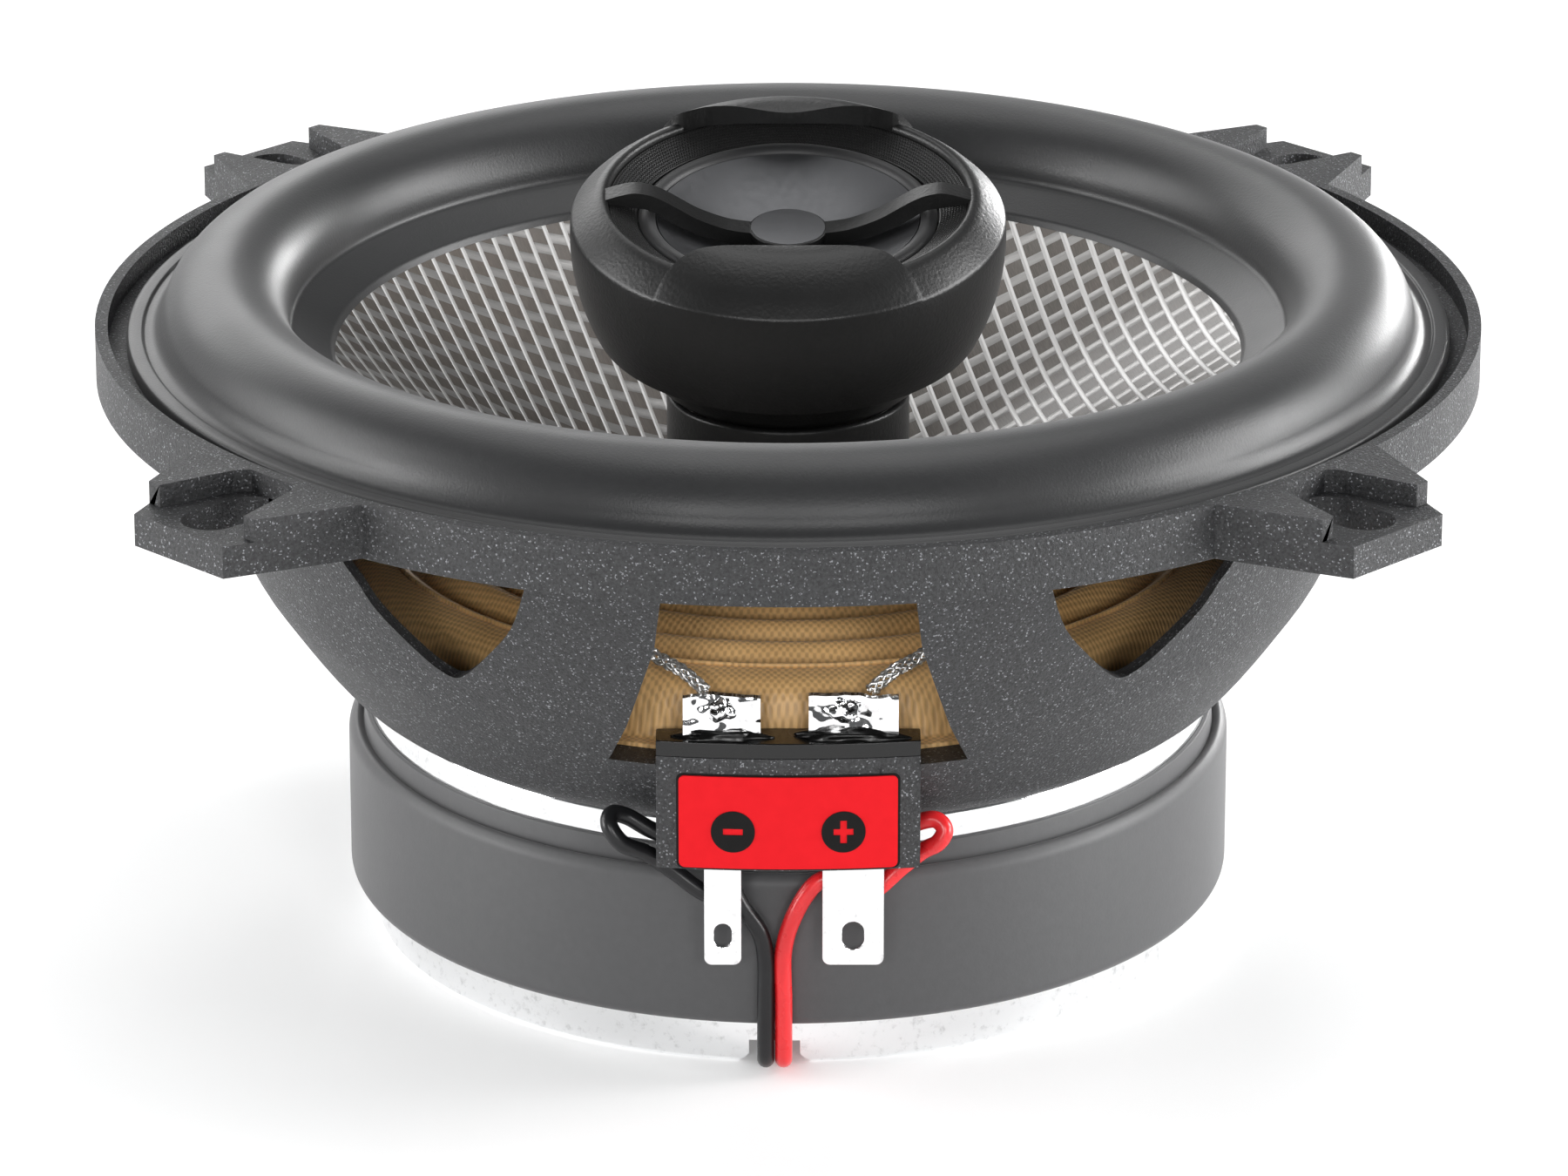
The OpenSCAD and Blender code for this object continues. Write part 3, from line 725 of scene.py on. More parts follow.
def settled(piece, name, finish, body, replaces=(), matrix=None):
    """Gives a finished shape its name, finish and place."""
    piece.name = piece.data.name = name
    piece.data.materials.clear()
    piece.data.materials.append(materials[finish])
    if matrix is not None:
        piece.data.transform(matrix)
    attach(piece, body)
    if replaces:
        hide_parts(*replaces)
    return piece


BENCH = TURN.to_4x4()
POD = Matrix.Translation(SWIVEL * MM) @ TILT.to_4x4()
print("boolean helpers ready")

# %% [markdown]
# ## Smooth curves through points
# Outlines and leads are given by a few points. A Catmull-Rom curve passes through all of them with no corners.

# %% Smooth curve
def smooth(points, steps=6, closed=False):
    p = [Vector(q) for q in points]
    n = len(p)
    done = []
    for i in range(n if closed else n - 1):
        a, b = p[i - 1] if closed or i else p[0], p[i]
        c = p[(i + 1) % n]
        d = p[(i + 2) % n] if closed else p[min(i + 2, n - 1)]
        for k in range(steps):
            t = k / steps
            done.append(0.5 * (2 * b + (c - a) * t + (2 * a - 5 * b + 4 * c - d) * t ** 2
                               + (3 * b - a - 3 * c + d) * t ** 3))
    return done if closed else done + [p[-1]]


print("curve helper ready")

# %% [markdown]
# ## The tweeter's bezel
# One black moulding: a ring on a ball-shaped shell, a hood in front and one behind that lean over the mouth,
# and a bridge with a small disc over the dome. Each is a simple shape; the hoods are a spun profile cut to an
# outline seen from above, and the bridge is a flat S-curve given a width. They are joined, then their edges
# are broken.

# %% Bezel
SHELL, BALL = 20.45, 19.0


def spun_shape(outline, turns=180):
    return new_piece("shape", *spun(outline, turns, plain), "satin_black")


bezel = spun_shape(circle_part(0, 0, SHELL, range(-27, 5, 3)) + [
    (20.38, 1.75, 0.3), (19.2, 2.95), (17.95, 3.95, 0.4), (17.3, 4.2, 0.35), (16.85, 3.9, 0.3), (16.85, 3.2, 0.3),
    (17.4, 2.4), (17.4, 0.92), (18.95, 0.92)] + circle_part(0, 0, BALL, range(0, -30, -3)))


def hood(outline, reach, rise=0.0):
    top = spun_shape([(20.3, 1.0), (20.42, 1.75, 0.3), (19.0, 3.3 + rise * 0.35, 1.0), (17.0, 4.75 + rise, 1.2),
                      (14.6, 5.75 + rise, 1.2), (reach, 5.55 + rise * 0.8, 0.35), (reach, 4.75 + rise * 0.7, 0.35),
                      (16.2, 3.95, 0.6), (17.6, 3.0), (18.3, 1.0)])
    return common(top, prism(outline, -2, 9))


front_edge = smooth([(-13.0, -19.5), (-12.45, -16.6), (-11.5, -14.9), (-9.6, -13.5), (-7.2, -12.95), (0, -12.8),
                     (7.2, -12.95), (9.6, -13.5), (11.5, -14.9), (12.45, -16.6), (13.0, -19.5)], 6)
rear_edge = smooth([(12.6, 19.5), (12.1, 16.4), (11.2, 14.4), (9.6, 13.6), (7.6, 13.5), (4.2, 12.9), (0, 12.1),
                    (-4.2, 12.9), (-7.6, 13.5), (-9.6, 13.6), (-11.2, 14.4), (-12.1, 16.4), (-12.6, 19.5)], 6)
front_hood = hood([tuple(p) for p in front_edge] + [(12, -23), (-12, -23)], 12.0)
rear_hood = hood([tuple(p) for p in rear_edge] + [(-12, 23), (12, 23)], 11.4, 0.85)
arm_top = smooth([(0, 0.5), (2.6, 0.5), (4.6, 0.72), (6.2, 1.1), (8.5, 2.05), (10.3, 3.15), (11.8, 4.05),
                  (13.2, 4.6), (14.8, 4.72), (17.5, 3.95)], 4)
arm_below = smooth([(17.5, 3.4), (16.6, 3.55), (14.4, 3.2), (12.8, 2.9), (10.8, 1.6), (8.9, 0.6), (6.8, -0.2),
                    (4.2, -0.7), (0, -0.75)], 3)
arm = [tuple(p) for p in arm_top + arm_below]
bridge = upright(prism(arm + [(-x, z) for x, z in reversed(arm[1:-1])], -1.15, 1.15))
disc = spun_shape([(0, -0.8), (3.55, -0.8), (3.7, 0.55, 0.2), (3.4, 0.62, 0.2), (0, 0.62)], 96)
joined(bezel, front_hood, rear_hood, bridge, disc)
broken_edges(bezel, 0.22, 30, 3)
settled(bezel, "bezel", "satin_black", "tweeter", ["tweeter_bezel"], POD)
badge = spun_shape([(0, 0.5), (3.45, 0.5), (3.5, 0.66, 0.08), (0, 0.68)], 64)
settled(badge, "bridge_badge", "dome_metal", "tweeter", [], POD)
print("bezel:", len(bezel.data.polygons), "faces")

# %% [markdown]
# ## The swivel's ball and the post
# Below the bezel the housing is a ball, a little smaller than the shell, and it turns in the cupped end of a
# plain post. The ball is hollow, and open below where the screw passes.

# %% Ball and post
lathe("swivel_ball", [(18.9, -1.0, 0.1)] + circle_part(0, 0, BALL, range(-4, -69, -4))
      + [(6.8, -17.7, 0.2), (6.8, -16.5, 0.2)] + circle_part(0, 0, 17.7, range(-67, -3, 7)) + [(17.6, -1.0)],
      "satin_black", "tweeter", ["tweeter_housing"], 180, pod)
lathe("post", [
    (3.05, -36.0), (5.0, -36.0), (5.0, FOOT), (11.45, FOOT, 0.2), (11.45, -3.1, 0.35), (10.9, -2.92, 0.2),
    (10.25, -3.6), (10.2, -5.9), (8.8, -5.9), (8.8, -26.0), (3.05, -26.0)],
      "satin_black", "frame", ["tweeter_post"], 180)
print("post and ball ready")

# %% [markdown]
# ## The dome and its surround
# An inverted dome of dark anodised metal, 0.2 mm thick, hung in a thin half-roll. The half-roll's weights by
# radius, about the tweeter's own tilted axis, are worked out and printed but not applied. It stays rigid on no body.

# %% Dome
DOME_CENTRE, DOME_FACE, DOME_BACK = 21.26, 23.06, 23.26
dome_curve = [math.radians(a) for a in np.linspace(0, 32.3, 22)]
lathe("dome_shell", [(DOME_FACE * math.sin(a), DOME_CENTRE - DOME_FACE * math.cos(a)) for a in dome_curve]
      + [(12.42, 1.60)]
      + [(DOME_BACK * math.sin(a), DOME_CENTRE - DOME_BACK * math.cos(a)) for a in reversed(dome_curve)],
      "dome_metal", "dome", ["tweeter_dome"], 180, pod, sharp=60)
dome_roll = lathe("dome_roll", [(15.1, 0.95), (15.1, 1.1), (14.0, 1.12, 0.05), (14.0, 1.5)]
                  + circle_part(13.2, 1.5, 0.8, range(0, 181, 15)) + circle_part(13.2, 1.5, 0.66, range(180, -1, -15))
                  + [(13.86, 0.95)], "dome_rubber", None, ["dome_surround"], 180, pod, sharp=60)
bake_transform(dome_roll)
print("dome surround weights", radial_weights(dome_roll, 14.0, 12.45, POD.inverted()))

# %% [markdown]
# ## The perforated guard
# A ring of black sheet with rows of tiny holes stands between the dome and the bezel. The holes repeat, so a
# Geometry Nodes tree places one small six-sided eyelet on every point of a rolled-up grid, every other row
# shifted by half a step, and turns each to face out of the cone-shaped ring. A plain ring of cloth lies behind.

# %% Guard
def eyelet_shape(sides=6):
    ring = circle_part(0, 0, 1, [60 * k for k in range(sides)])
    levels = ((0.176, -0.05), (0.176, 0.03), (0.10, 0.05), (0.085, -0.05))
    points = [plain(x * radius, y * radius, height) for radius, height in levels for x, y in ring]
    faces = [(low + k, low + (k + 1) % sides, high + (k + 1) % sides, high + k)
             for low, high in ((0, 6), (6, 12), (12, 18), (18, 0)) for k in range(sides)]
    return new_piece("eyelet", points, faces, "mesh_black", smooth=False)


def guard_tree():
    g, w = geometry_tree("guard", [
        ("Eyelet", "NodeSocketObject", None),
        ("Inner", "NodeSocketFloat", 14.45), ("Outer", "NodeSocketFloat", 16.6),
        ("Low", "NodeSocketFloat", 2.12), ("High", "NodeSocketFloat", 3.3),
        ("Rows", "NodeSocketInt", 9), ("Around", "NodeSocketInt", 310)])
    grid = g.node("GeometryNodeMeshGrid", 1.0, 1.0, w["Rows"], w["Around"])
    index = g.node("GeometryNodeInputIndex")
    around = w["Around"]
    row = (index / around).floor()
    step = index - row * around + row * 0.5
    share = row / (w["Rows"] - 1.0)
    angle = step / around * (2 * math.pi)
    r = w["Inner"] + (w["Outer"] - w["Inner"]) * share
    z = w["Low"] + (w["High"] - w["Low"]) * share
    place = g.vector(r * angle.cos() * MM, r * angle.sin() * MM, z * MM)
    facing = g.vector(angle.cos() * -0.48, angle.sin() * -0.48, 0.877)
    turn = g.node("FunctionNodeAlignRotationToVector", named={"Vector": facing}, axis="Z")
    spread = g.node("GeometryNodeSetPosition", grid, None, place)
    shape = g.node("GeometryNodeObjectInfo", w["Eyelet"], out=4)
    copies = g.node("GeometryNodeInstanceOnPoints", named={"Points": spread, "Instance": shape, "Rotation": turn})
    finish_tree(g, copies, "mesh_black")
    return g.tree


eyelet = eyelet_shape()
guard = bake("guard_mesh", guard_tree(), {"Eyelet": eyelet}, "mesh_black")
bpy.data.objects.remove(eyelet)
settled(guard, "guard_mesh", "mesh_black", "tweeter", ["tweeter_mesh"], POD)
lathe("guard_back", [
    (14.2, 1.62), (14.15, 1.98, 0.1), (14.35, 2.0, 0.1), (16.7, 3.2, 0.1), (16.85, 3.28), (17.35, 2.4),
    (17.35, 0.95), (17.0, 0.95), (16.9, 2.3), (16.5, 2.8)], "mesh_black", "tweeter", [], 180, pod)
print("guard:", len(guard.data.polygons), "faces")

# %% [markdown]
# ## The basket
# Cast in one piece: a bowl, a flange with a raised rim, four flared ears with a pocket round each screw
# slot, and the bracket for the terminals. It is made the way a toolmaker would describe it. The bowl is turned,
# the ears and the bracket are added, the windows, pockets and slots are cut, and every edge is broken.

# %% Basket
def cylinder(radius, low, high, turns=240):
    return spun_shape([(0, low), (radius, low), (radius, high), (0, high)], turns)


def slab(x0, x1, z0, z1, y0, y1):
    return prism([(x0, y0), (x1, y0), (x1, y1), (x0, y1)], z0, z1)


def around(piece, degrees):
    return turned(piece, Matrix.Rotation(math.radians(degrees), 4, "Z"))


BRACKET_HALF, BRACKET_LOW, BRACKET_TOP = 11.95, -32.45, -21.6
FRONT_BEND, FRONT_FACE = 80, -47


def front_line(x_half, extra=0.0, steps=24):
    """The gently curved front of the bracket seen from above, or a line a little in front of it."""
    xs = [x_half - 2 * x_half * k / steps for k in range(steps + 1)]
    return [(x, FRONT_FACE + FRONT_BEND - math.sqrt((FRONT_BEND + extra) ** 2 - x * x)) for x in xs]


def bend(x_half, back):
    """An outline from above with the curved front of the bracket and a straight back."""
    return [(-x_half, back), (x_half, back)] + front_line(x_half)


outer_wall = smooth([(57.5, -1.5), (56.2, -4), (53.8, -11), (51, -17.5), (48.4, -21.6), (45.2, -26), (42.6, -28.9),
                     (40.4, -30.45)], 3)
inner_wall = smooth([(45.8, -22.3), (49.4, -17), (52.3, -11), (54.7, -4), (55.2, -0.5)], 3)
PLATE, RIM = 3.0, 5.1
basket = spun_shape(
    [(55.2, PLATE), (63.8, PLATE), (63.8, RIM), (65.0, RIM), (65.0, 0.0), (57.5, 0.0)]
    + [tuple(p) for p in outer_wall]
    + [(40.0, FOOT), (25.0, FOOT), (25.0, -28.3), (39.6, -28.3), (43.4, -24.3), (38.0, -24.3), (38.0, -22.3)]
    + [tuple(p) for p in inner_wall], 288)


def ear():
    tip, half, wall_tip, flare = 76.2, 5.9, 73.4, math.tan(math.radians(22))
    root, end = half + (tip - 60) * flare, half + (tip - wall_tip) * flare
    plate = prism([(60, -root), (tip, -half), (tip, half), (60, root)], 0, PLATE)
    wall = prism([(60, -root), (wall_tip, -end), (wall_tip, end), (60, root)], 1.0, RIM)
    pocket = smooth([(79, -6.9), (73, -5.5), (68.2, -4.3), (65.7, -3.5), (64.5, -1.8), (64.5, 1.8), (65.7, 3.5),
                     (68.2, 4.3), (73, 5.5), (79, 6.9)], 5)
    return joined(plate, cut(wall, prism([tuple(p) for p in pocket], PLATE, 8.0)))


def slot():
    outer = circle_part(70 + 2.3, 0, 2.7, range(-90, 91, 10))
    inner = circle_part(70 - 2.3, 0, 2.7, range(90, 271, 10))
    return prism(outer + inner, -2, 8)


ears = ear()
for quarter in (90, 180, 270):
    joined(ears, around(ear(), quarter))
cut(ears, cylinder(64.4, -2, 8))
joined(basket, ears)
for quarter in range(0, 360, 90):
    cut(basket, around(slot(), quarter))

middle = [(-11.2, -2), (-11.9, -8.4), (-14.5, -17.6), (-16.2, LEDGE), (16.2, LEDGE), (14.5, -17.6), (11.9, -8.4),
          (11.2, -2)]
beside = smooth([(-6.0, -2), (-6.5, -3.6), (-8.5, -8.3), (-11.6, -12.1), (-14.1, -14.7), (-15.6, -15.5),
                 (-17.2, -15.0), (-19.0, -13.8), (-23.2, -10.2), (-25.0, -7.6), (-26.4, -5.8), (-27.9, -2)], 4)
windows = [(middle, 36, 66, 0), (beside, 40, 68, -18), ([(-x, z) for x, z in beside], 40, 68, 18)]
for half_turn in (0, 180):
    for outline, near, far, turn in windows:
        window = upright(prism([tuple(p) for p in outline], near, far))
        cut(basket, around(window, FRONT + half_turn + turn))

front_space = cut(slab(-BRACKET_HALF, BRACKET_HALF, -33, -21.1, -50, -45), prism(bend(14, -30), -34, -20))
cut(basket, around(front_space, FRONT))
bracket = prism(bend(BRACKET_HALF, -45.6), BRACKET_LOW, BRACKET_TOP)
sides = [slab(x, x + 1.4, BRACKET_LOW, BRACKET_TOP, -46, -44.2) for x in (-BRACKET_HALF, BRACKET_HALF - 1.4)]
shelf = cut(prism(bend(BRACKET_HALF, -41), -23, BRACKET_TOP), cylinder(44.6, -40, -10))
joined(bracket, *sides, shelf)
cut(bracket, slab(-10.4, 10.4, -24.4, -20, -45.5, -43.1))
joined(basket, around(bracket, FRONT))
cut(basket, around(slab(-10.4, 10.4, -27.5, -20.2, -45.5, -44.4), FRONT))
broken_edges(basket, 0.32, 38, 3)
settled(basket, "basket_body", "basket_paint", "frame", ["basket"])
print("basket:", len(basket.data.polygons), "faces")

# %% [markdown]
# ## Back plate
# The zinc-plated back plate and its pole are one turned piece, with a channel milled across the back for the
# tweeter's two wires. The edge of the channel is chamfered, so that it does not chafe them.

# %% Back plate and pole
yoke = spun_shape([(5.0, BASE), (39.0, BASE), (39.5, BASE + 0.5), (39.5, MAGNET_LOW - 0.4), (39.1, MAGNET_LOW),
                   (12.4, MAGNET_LOW), (12.4, FOOT), (5.0, FOOT)], 288)
channel_half = [(-3.3, -1), (-3.3, 0), (-2.35, 0.95), (-2.35, 2.3)]
channel = upright(prism([(x - 1.25, BASE + z) for x, z in channel_half]
                        + [(-x - 1.25, BASE + z) for x, z in reversed(channel_half)], 0, 45))
cut(yoke, around(channel, FRONT))
broken_edges(yoke, 0.3, 30, 3)
settled(yoke, "back_plate", "zinc", "frame", ["pole_yoke"])
print("back plate:", len(yoke.data.polygons), "faces")

# %% [markdown]
# ## Terminals
# Two strips of tinned brass pass through a black board. Above it each is a lug, a little crumpled by soldering,
# and below it a push-on blade with a slotted hole, narrow for minus and wide for plus. The lugs are fine grids
# whose flatness is spoilt by a slow noise, because their liquid reflections come from real dents.

# %% Terminals, board and solder
STRIP_FRONT, STRIP_BACK, BOARD_TOP = -45.4, -44.6, -20.1


def blade(x, width, hole):
    bottom, top, r = -42.4, -30.95, 0.7
    corner = circle_part(x + r, bottom + r, r, range(180, 271, 15))
    other = [(2 * x + width - px, pz) for px, pz in reversed(corner)]
    outline = [(x, top)] + corner + other + [(x + width, top)]
    piece = upright(prism(outline, -STRIP_BACK, -STRIP_FRONT))
    middle_x, middle_z, stretch = x + width / 2, -39.5, 0.35
    upper = circle_part(middle_x, middle_z + stretch, hole, [7.5 + 15 * k for k in range(12)])
    lower = circle_part(middle_x, middle_z - stretch, hole, [187.5 + 15 * k for k in range(12)])
    return cut(piece, upright(prism(upper + lower, 43, 47)))


def crumpled(x0, x1, z0, z1, seed):
    """A lug as a fine slab, pushed about by a noise that fades towards its foot."""
    columns, rows = 44, 26
    points, faces = [], []
    for y in (STRIP_FRONT, STRIP_BACK):
        for j in range(rows + 1):
            for i in range(columns + 1):
                u, v = i / columns, j / rows
                x, z = x0 + (x1 - x0) * u, z0 + (z1 - z0) * v
                wave = noise.noise(Vector((x * 0.34 + seed, z * 0.42, seed * 1.7)))
                fine = noise.noise(Vector((x * 1.1, z * 1.3 + seed, 4.1)))
                fold = max(0.0, 1 - abs((x - x0) / (x1 - x0) - 0.5) * 3.2) * v
                push = (wave * 0.62 + fine * 0.11 + fold * 0.24) * min(1.0, v * 2.2)
                lift = noise.noise(Vector((x * 0.8, seed, 2.0))) * 0.22 * v
                points.append(plain(x, y + push, z + lift))
    n = columns + 1
    layer = n * (rows + 1)
    for j in range(rows):
        for i in range(columns):
            a = j * n + i
            faces += [(a, a + 1, a + n + 1, a + n), (layer + a, layer + a + n, layer + a + n + 1, layer + a + 1)]
    edge = ([i for i in range(n)] + [j * n + columns for j in range(1, rows + 1)]
            + [rows * n + i for i in range(columns - 1, -1, -1)] + [j * n for j in range(rows - 1, 0, -1)])
    faces += [(edge[k], layer + edge[k], layer + edge[(k + 1) % len(edge)], edge[(k + 1) % len(edge)])
              for k in range(len(edge))]
    return new_piece("lug", points, faces, "terminal_tin", sharp=50)


def terminal(name, node, lug_x, lug_w, neck_x, blade_x, blade_w, hole, seed):
    neck = slab(neck_x, neck_x + 1.8, -32.0, -19.6, STRIP_FRONT, STRIP_BACK)
    low = joined(neck, blade(blade_x, blade_w, hole))
    broken_edges(low, 0.1, 30, 2)
    settled(low, name + "_blade", "terminal_tin", "frame", [node], BENCH)
    lug = crumpled(lug_x, lug_x + lug_w, BOARD_TOP, -16.2, seed)
    settled(lug, name + "_lug", "terminal_tin", "frame", [], BENCH)


terminal("minus", "negative_terminal", -9.5, 7.0, -6.8, -7.65, 3.4, 0.8, 3.3)
terminal("plus", "positive_terminal", 1.85, 8.1, 5.2, 3.1, 5.6, 1.0, 8.6)
board = prism(bend(BRACKET_HALF, -43.1), BRACKET_TOP, BOARD_TOP)
cut(board, *[slab(x, x + 2, -23, -19, STRIP_FRONT - 0.02, STRIP_BACK + 0.02) for x in (-6.9, 5.1)])
broken_edges(board, 0.15, 30, 2)
settled(board, "board", "board", "frame", ["terminal_board"], BENCH)


def blob(name, centre, size, finish, seed, rough=0.25, turns=40, replaces=()):
    """A lumpy drop: a ball stretched to a size and dented by noise."""
    rings = turns // 2
    points = [Vector((0, 0, -1))] + [Vector((math.sin(t) * math.cos(p), math.sin(t) * math.sin(p), -math.cos(t)))
              for t in (math.pi * j / rings for j in range(1, rings))
              for p in (2 * math.pi * k / turns for k in range(turns))] + [Vector((0, 0, 1))]
    placed = []
    for q in points:
        swell = 1 + rough * noise.noise(q * 1.6 + Vector((seed, 0, 0)))
        placed.append(plain(*[c + q[i] * size[i] * swell for i, c in enumerate(centre)]))
    last = len(points) - 1
    faces = [(0, 1 + (k + 1) % turns, 1 + k) for k in range(turns)]
    faces += [(1 + j * turns + k, 1 + j * turns + (k + 1) % turns, 1 + (j + 1) * turns + (k + 1) % turns,
               1 + (j + 1) * turns + k) for j in range(rings - 2) for k in range(turns)]
    faces += [(last, last - turns + k, last - turns + (k + 1) % turns) for k in range(turns)]
    return settled(new_piece(name, placed, faces, finish), name, finish, "frame", replaces, BENCH)


blob("solder_minus", (-6.0, -45.0, -17.6), (1.25, 0.85, 0.95), "solder", 1.0, 0.5, replaces=["solder_joints"])
blob("solder_plus", (5.2, -45.0, -17.6), (1.35, 0.85, 0.95), "solder", 5.0, 0.5)
blob("flux_minus", (-6.0, -45.1, -20.0), (3.9, 1.3, 0.75), "board", 2.0, 0.4)
blob("flux_plus", (5.9, -45.1, -20.0), (4.5, 1.3, 0.75), "board", 7.0, 0.4)
print("terminals, board and solder ready")

# %% [markdown]
# ## Label
# A red film on the curved face of the bracket, with a black disc for each terminal. The film is a slice of a
# thin curved wall, cut to a rounded rectangle. A black sheet a little larger lies just under it. It is a
# painted shadow round the label's edge. In the discs the minus and the plus are left open.

# %% Label and marks
def curved_film(outline, low, high):
    """What a flat outline, seen from the front, cuts out of a thin curved wall."""
    wall = front_line(12, high, 60) + front_line(12, low, 60)[::-1]
    return common(prism(wall, -34, -20), upright(prism(outline, 44, 50)))


def rounded_box(x0, x1, z0, z1, r):
    corners = ((x1 - r, z1 - r, 0), (x0 + r, z1 - r, 90), (x0 + r, z0 + r, 180), (x1 - r, z0 + r, 270))
    return [p for x, z, start in corners for p in circle_part(x, z, r, range(start, start + 91, 15))]


film = curved_film(rounded_box(-9.9, 9.9, -32.2, -23.3, 0.55), 0.02, 0.2)
settled(film, "label", "label_red", "frame", ["polarity_label"], BENCH)
# painted shadow: a black sheet, a little larger than the label and just under it, darkens the label's edge
label_shade_sheet = curved_film(rounded_box(-10.12, 10.12, -32.36, -23.1, 0.6), -0.1, 0.03)
settled(label_shade_sheet, "label_shadow", "mark_black", "frame", [], BENCH)
MARK_X, MARK_Z = 5, -28.6
minus, plus = [curved_film(circle_part(x, MARK_Z, 2, range(0, 360, 6)), 0.19, 0.27) for x in (-MARK_X, MARK_X)]
cut(minus, slab(-MARK_X - 0.9, -MARK_X + 0.9, MARK_Z - 0.3, MARK_Z + 0.3, -50, -44))
cut(plus, slab(MARK_X - 0.9, MARK_X + 0.9, MARK_Z - 0.3, MARK_Z + 0.3, -50, -44),
    slab(MARK_X - 0.3, MARK_X + 0.3, MARK_Z - 1.1, MARK_Z + 1.1, -50, -44))
settled(joined(minus, plus), "marks", "mark_black", "frame", ["polarity_marks"], BENCH)
print("label ready")

# %% [markdown]
# ## Wires
# A wire is a round tube along a smooth curve. The frame of each ring is carried along from the one before, so
# the tube never twists. The two wires of the tweeter run side by side down the boot and under the back plate.

# %% Wires
def framed(points):
    """A list of (point, across, up) along a curve, with no twist."""
    done, across = [], None
    for i, p in enumerate(points):
        ahead = (points[min(i + 1, len(points) - 1)] - points[max(i - 1, 0)]).normalized()
        if across is None:
            across = ahead.cross(Vector((0.3, 1, 0.2))).normalized()
        across = (across - ahead * across.dot(ahead)).normalized()
        done.append((p, across, ahead.cross(across)))
    return done


def tube_mesh(points, radius, sides=16):
    angles = [2 * math.pi * k / sides for k in range(sides)]
    rings = [p + (u * math.cos(a) + v * math.sin(a)) * radius for p, u, v in framed(points) for a in angles]
    faces = [(i * sides + k, i * sides + (k + 1) % sides, (i + 1) * sides + (k + 1) % sides, (i + 1) * sides + k)
             for i in range(len(points) - 1) for k in range(sides)]
    faces += [tuple(range(sides)), tuple(len(rings) - sides + k for k in range(sides))]
    return rings, faces


def wire(name, route, finish, replaces, radius=0.8, steps=8):
    points, faces = tube_mesh(smooth(route, steps), radius)
    made = new_piece(name, [plain(*p) for p in points], faces, finish, sharp=50)
    return settled(made, name, finish, "frame", replaces, BENCH)


black_route = [(-5.4, -43.6, -34.6), (-4.3, -43.6, -37.2), (-2.6, -43.4, -40), (-2.05, -42.9, -43),
               (-2.05, -42.9, -47), (-2.05, -42.9, -51), (-2.05, -41.9, -53.2), (-2.05, -39, -53.7),
               (-2.05, -28, -53.7), (-1.9, -14, -53.7), (-1.72, -7, -53.65), (-1.05, -3, -53.1), (-0.82, -0.4, -51),
               (-0.82, 0, -46), (-0.82, 0, -34), (-0.82, 0, -18), (-0.82, 0, 0.2)]
red_route = [(4.6, -43.55, -34.2), (2.4, -43.6, -35.2), (0.6, -43.5, -38.2), (-0.42, -42.95, -42),
             (-0.42, -42.9, -47), (-0.42, -42.9, -51), (-0.42, -41.9, -53.2), (-0.42, -39, -53.7),
             (-0.42, -28, -53.7), (-0.28, -14, -53.7), (-0.1, -7, -53.65), (0.6, -3, -53.1), (0.82, -0.4, -51),
             (0.82, 0, -46), (0.82, 0, -34), (0.82, 0, -18), (0.82, 0, 0.2)]
black_loop = [(-7.05, -43.1, -31.2), (-9.8, -43, -31), (-12.4, -42.7, -30.2), (-14.6, -42.4, -29),
              (-16, -43, -28.5), (-16.2, -44, -29.3), (-15, -44.3, -30.9), (-12.8, -43.4, -32.2),
              (-10.4, -43.3, -34), (-8.6, -43.5, -35.4), (-7.4, -43.5, -36.2)]
red_loop = [(7.05, -43.1, -31.2), (9.2, -43, -30.5), (11.4, -42.9, -29.5), (13.3, -43.1, -29), (14.2, -43.6, -29.8),
            (13.6, -43.8, -31), (12.2, -43.3, -32), (10.2, -43.3, -33.7), (8.6, -43.5, -35.2), (7.4, -43.5, -36.2)]
wire("cable_black", black_route, "wire_black", ["tweeter_lead_black"])
wire("cable_red", red_route, "wire_red", ["tweeter_lead_red"])
wire("loop_black", black_loop, "wire_black", ["capacitor_lead_black"])
wire("loop_red", red_loop, "wire_red", ["capacitor_lead_red"])
print("wires ready")

# %% [markdown]
# ## Braided tinsel leads
# The two leads that move with the cone are flat braids of fine silvery strands. Half of the strands wind one way
# and half the other, passing over and under, so a strand is a helix whose radius swings as it crosses its
# neighbours. Each lead runs from a lug at one end to the cone at the other. It is made as one rigid piece on no body.

# %% Tinsel
def braid(name, route, replaces, strands=10, radius=0.46, thickness=0.115, turns=3.2):
    path = framed(smooth(route, 22))
    points, faces = [], []
    for s in range(strands):
        way = 1 if s % 2 else -1
        line = []
        for i, (p, u, v) in enumerate(path):
            along = i / (len(path) - 1)
            angle = way * 2 * math.pi * turns * along + 2 * math.pi * s / strands
            weave = radius + 0.075 * math.sin(along * turns * strands * math.pi + s * math.pi)
            line.append(p + (u * math.cos(angle) * 1.12 + v * math.sin(angle) * 0.8) * weave)
        ring, sides = tube_mesh(line, thickness, 6)
        faces += [tuple(q + len(points) for q in face) for face in sides]
        points += ring
    made = new_piece(name, [bench(*p) for p in points], faces, "tinsel", sharp=60)
    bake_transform(made)
    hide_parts(*replaces)
    return made


tinsel_route = [(-7.4, -43.9, -16.2), (-9.6, -42.6, -14.7), (-12.3, -40.2, -14), (-16.2, -35, -12.6),
                (-18.6, -29, -10.4), (-19.4, -24, -7.9)]
braid("tinsel_minus", tinsel_route, ["tinsel_lead_negative"])
braid("tinsel_plus", [(-x, y, z) for x, y, z in tinsel_route], ["tinsel_lead_positive"])
print("tinsel ready")

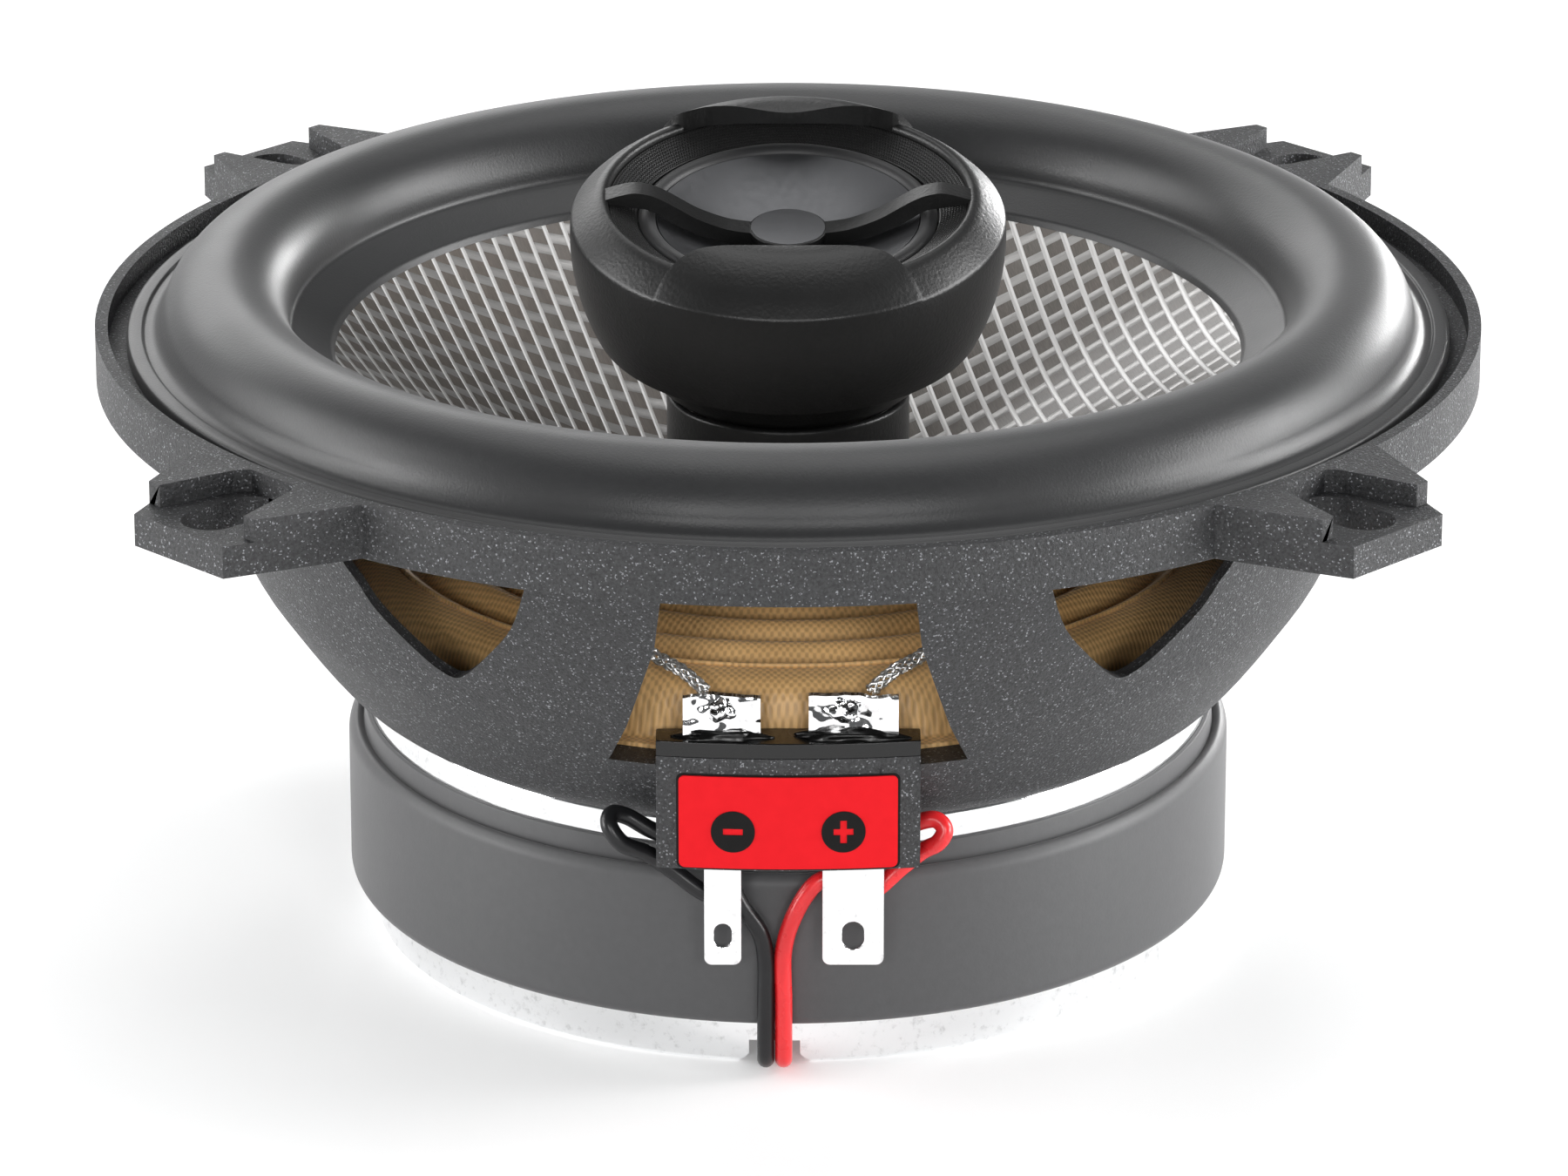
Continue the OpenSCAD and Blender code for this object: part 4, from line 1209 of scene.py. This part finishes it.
# %% [markdown]
# ## Floor and lights
# The speaker lies on white paper, which is staging and not part of it. A broad soft light stands above and
# behind, panels at both sides draw long highlights on the rubber, and two small ones in front reach through the
# windows to the canvas. `soft_light` takes a place, the height it looks at, its two sizes and its power.

# %% Floor and lights
def soft_light(name, where, aim_z, width, height, power):
    data = bpy.data.lights.new(name, "AREA")
    data.shape = "RECTANGLE"
    data.size, data.size_y, data.energy = width, height, power
    lamp = bpy.data.objects.new(name, data)
    lamp.location = bench(*where)
    lamp.rotation_euler = (bench(0, 0, aim_z) - lamp.location).to_track_quat("-Z", "Y").to_euler()
    bpy.context.scene.collection.objects.link(lamp)


floor = prism([(-3000, -3000), (3000, -3000), (3000, 3000), (-3000, 3000)], BASE - 20, BASE, "floor")
paper = bpy.data.materials.new("paper")
paper.use_nodes = True
for socket, value in {"Base Color": (0.86, 0.86, 0.86, 1), "Roughness": 0.7, "Emission Color": (1, 1, 1, 1),
                      "Emission Strength": 0.18}.items():
    paper.node_tree.nodes["Principled BSDF"].inputs[socket].default_value = value
floor.data.materials.clear()
floor.data.materials.append(paper)
world = bpy.data.worlds.new("studio")
world.use_nodes = True
world.node_tree.nodes["Background"].inputs["Color"].default_value = (0.92, 0.94, 0.96, 1)
world.node_tree.nodes["Background"].inputs["Strength"].default_value = 0.10
bpy.context.scene.world = world
soft_light("overhead", (0, 260, 850), 0, 0.7, 0.7, 3)
soft_light("left", (-820, 60, 300), 0, 0.5, 0.5, 4.5)
soft_light("right", (860, 120, 300), 0, 0.45, 0.45, 8.5)
soft_light("side_left", (-960, -260, 60), -20, 0.3, 0.3, 5.2)
soft_light("side_right", (960, -260, 60), -20, 0.3, 0.3, 6.5)
soft_light("window_left", (-240, -950, 300), -15, 0.22, 0.22, 2.6)
soft_light("window_right", (240, -950, 300), -15, 0.22, 0.22, 2.6)
soft_light("back_left", (-400, 900, 400), 0, 0.8, 0.5, 4)
soft_light("back_right", (540, 900, 95), 0, 0.35, 0.1, 5)
print(len(bpy.data.lights), "lights")
bpy.context.scene.view_settings.view_transform = "Standard"
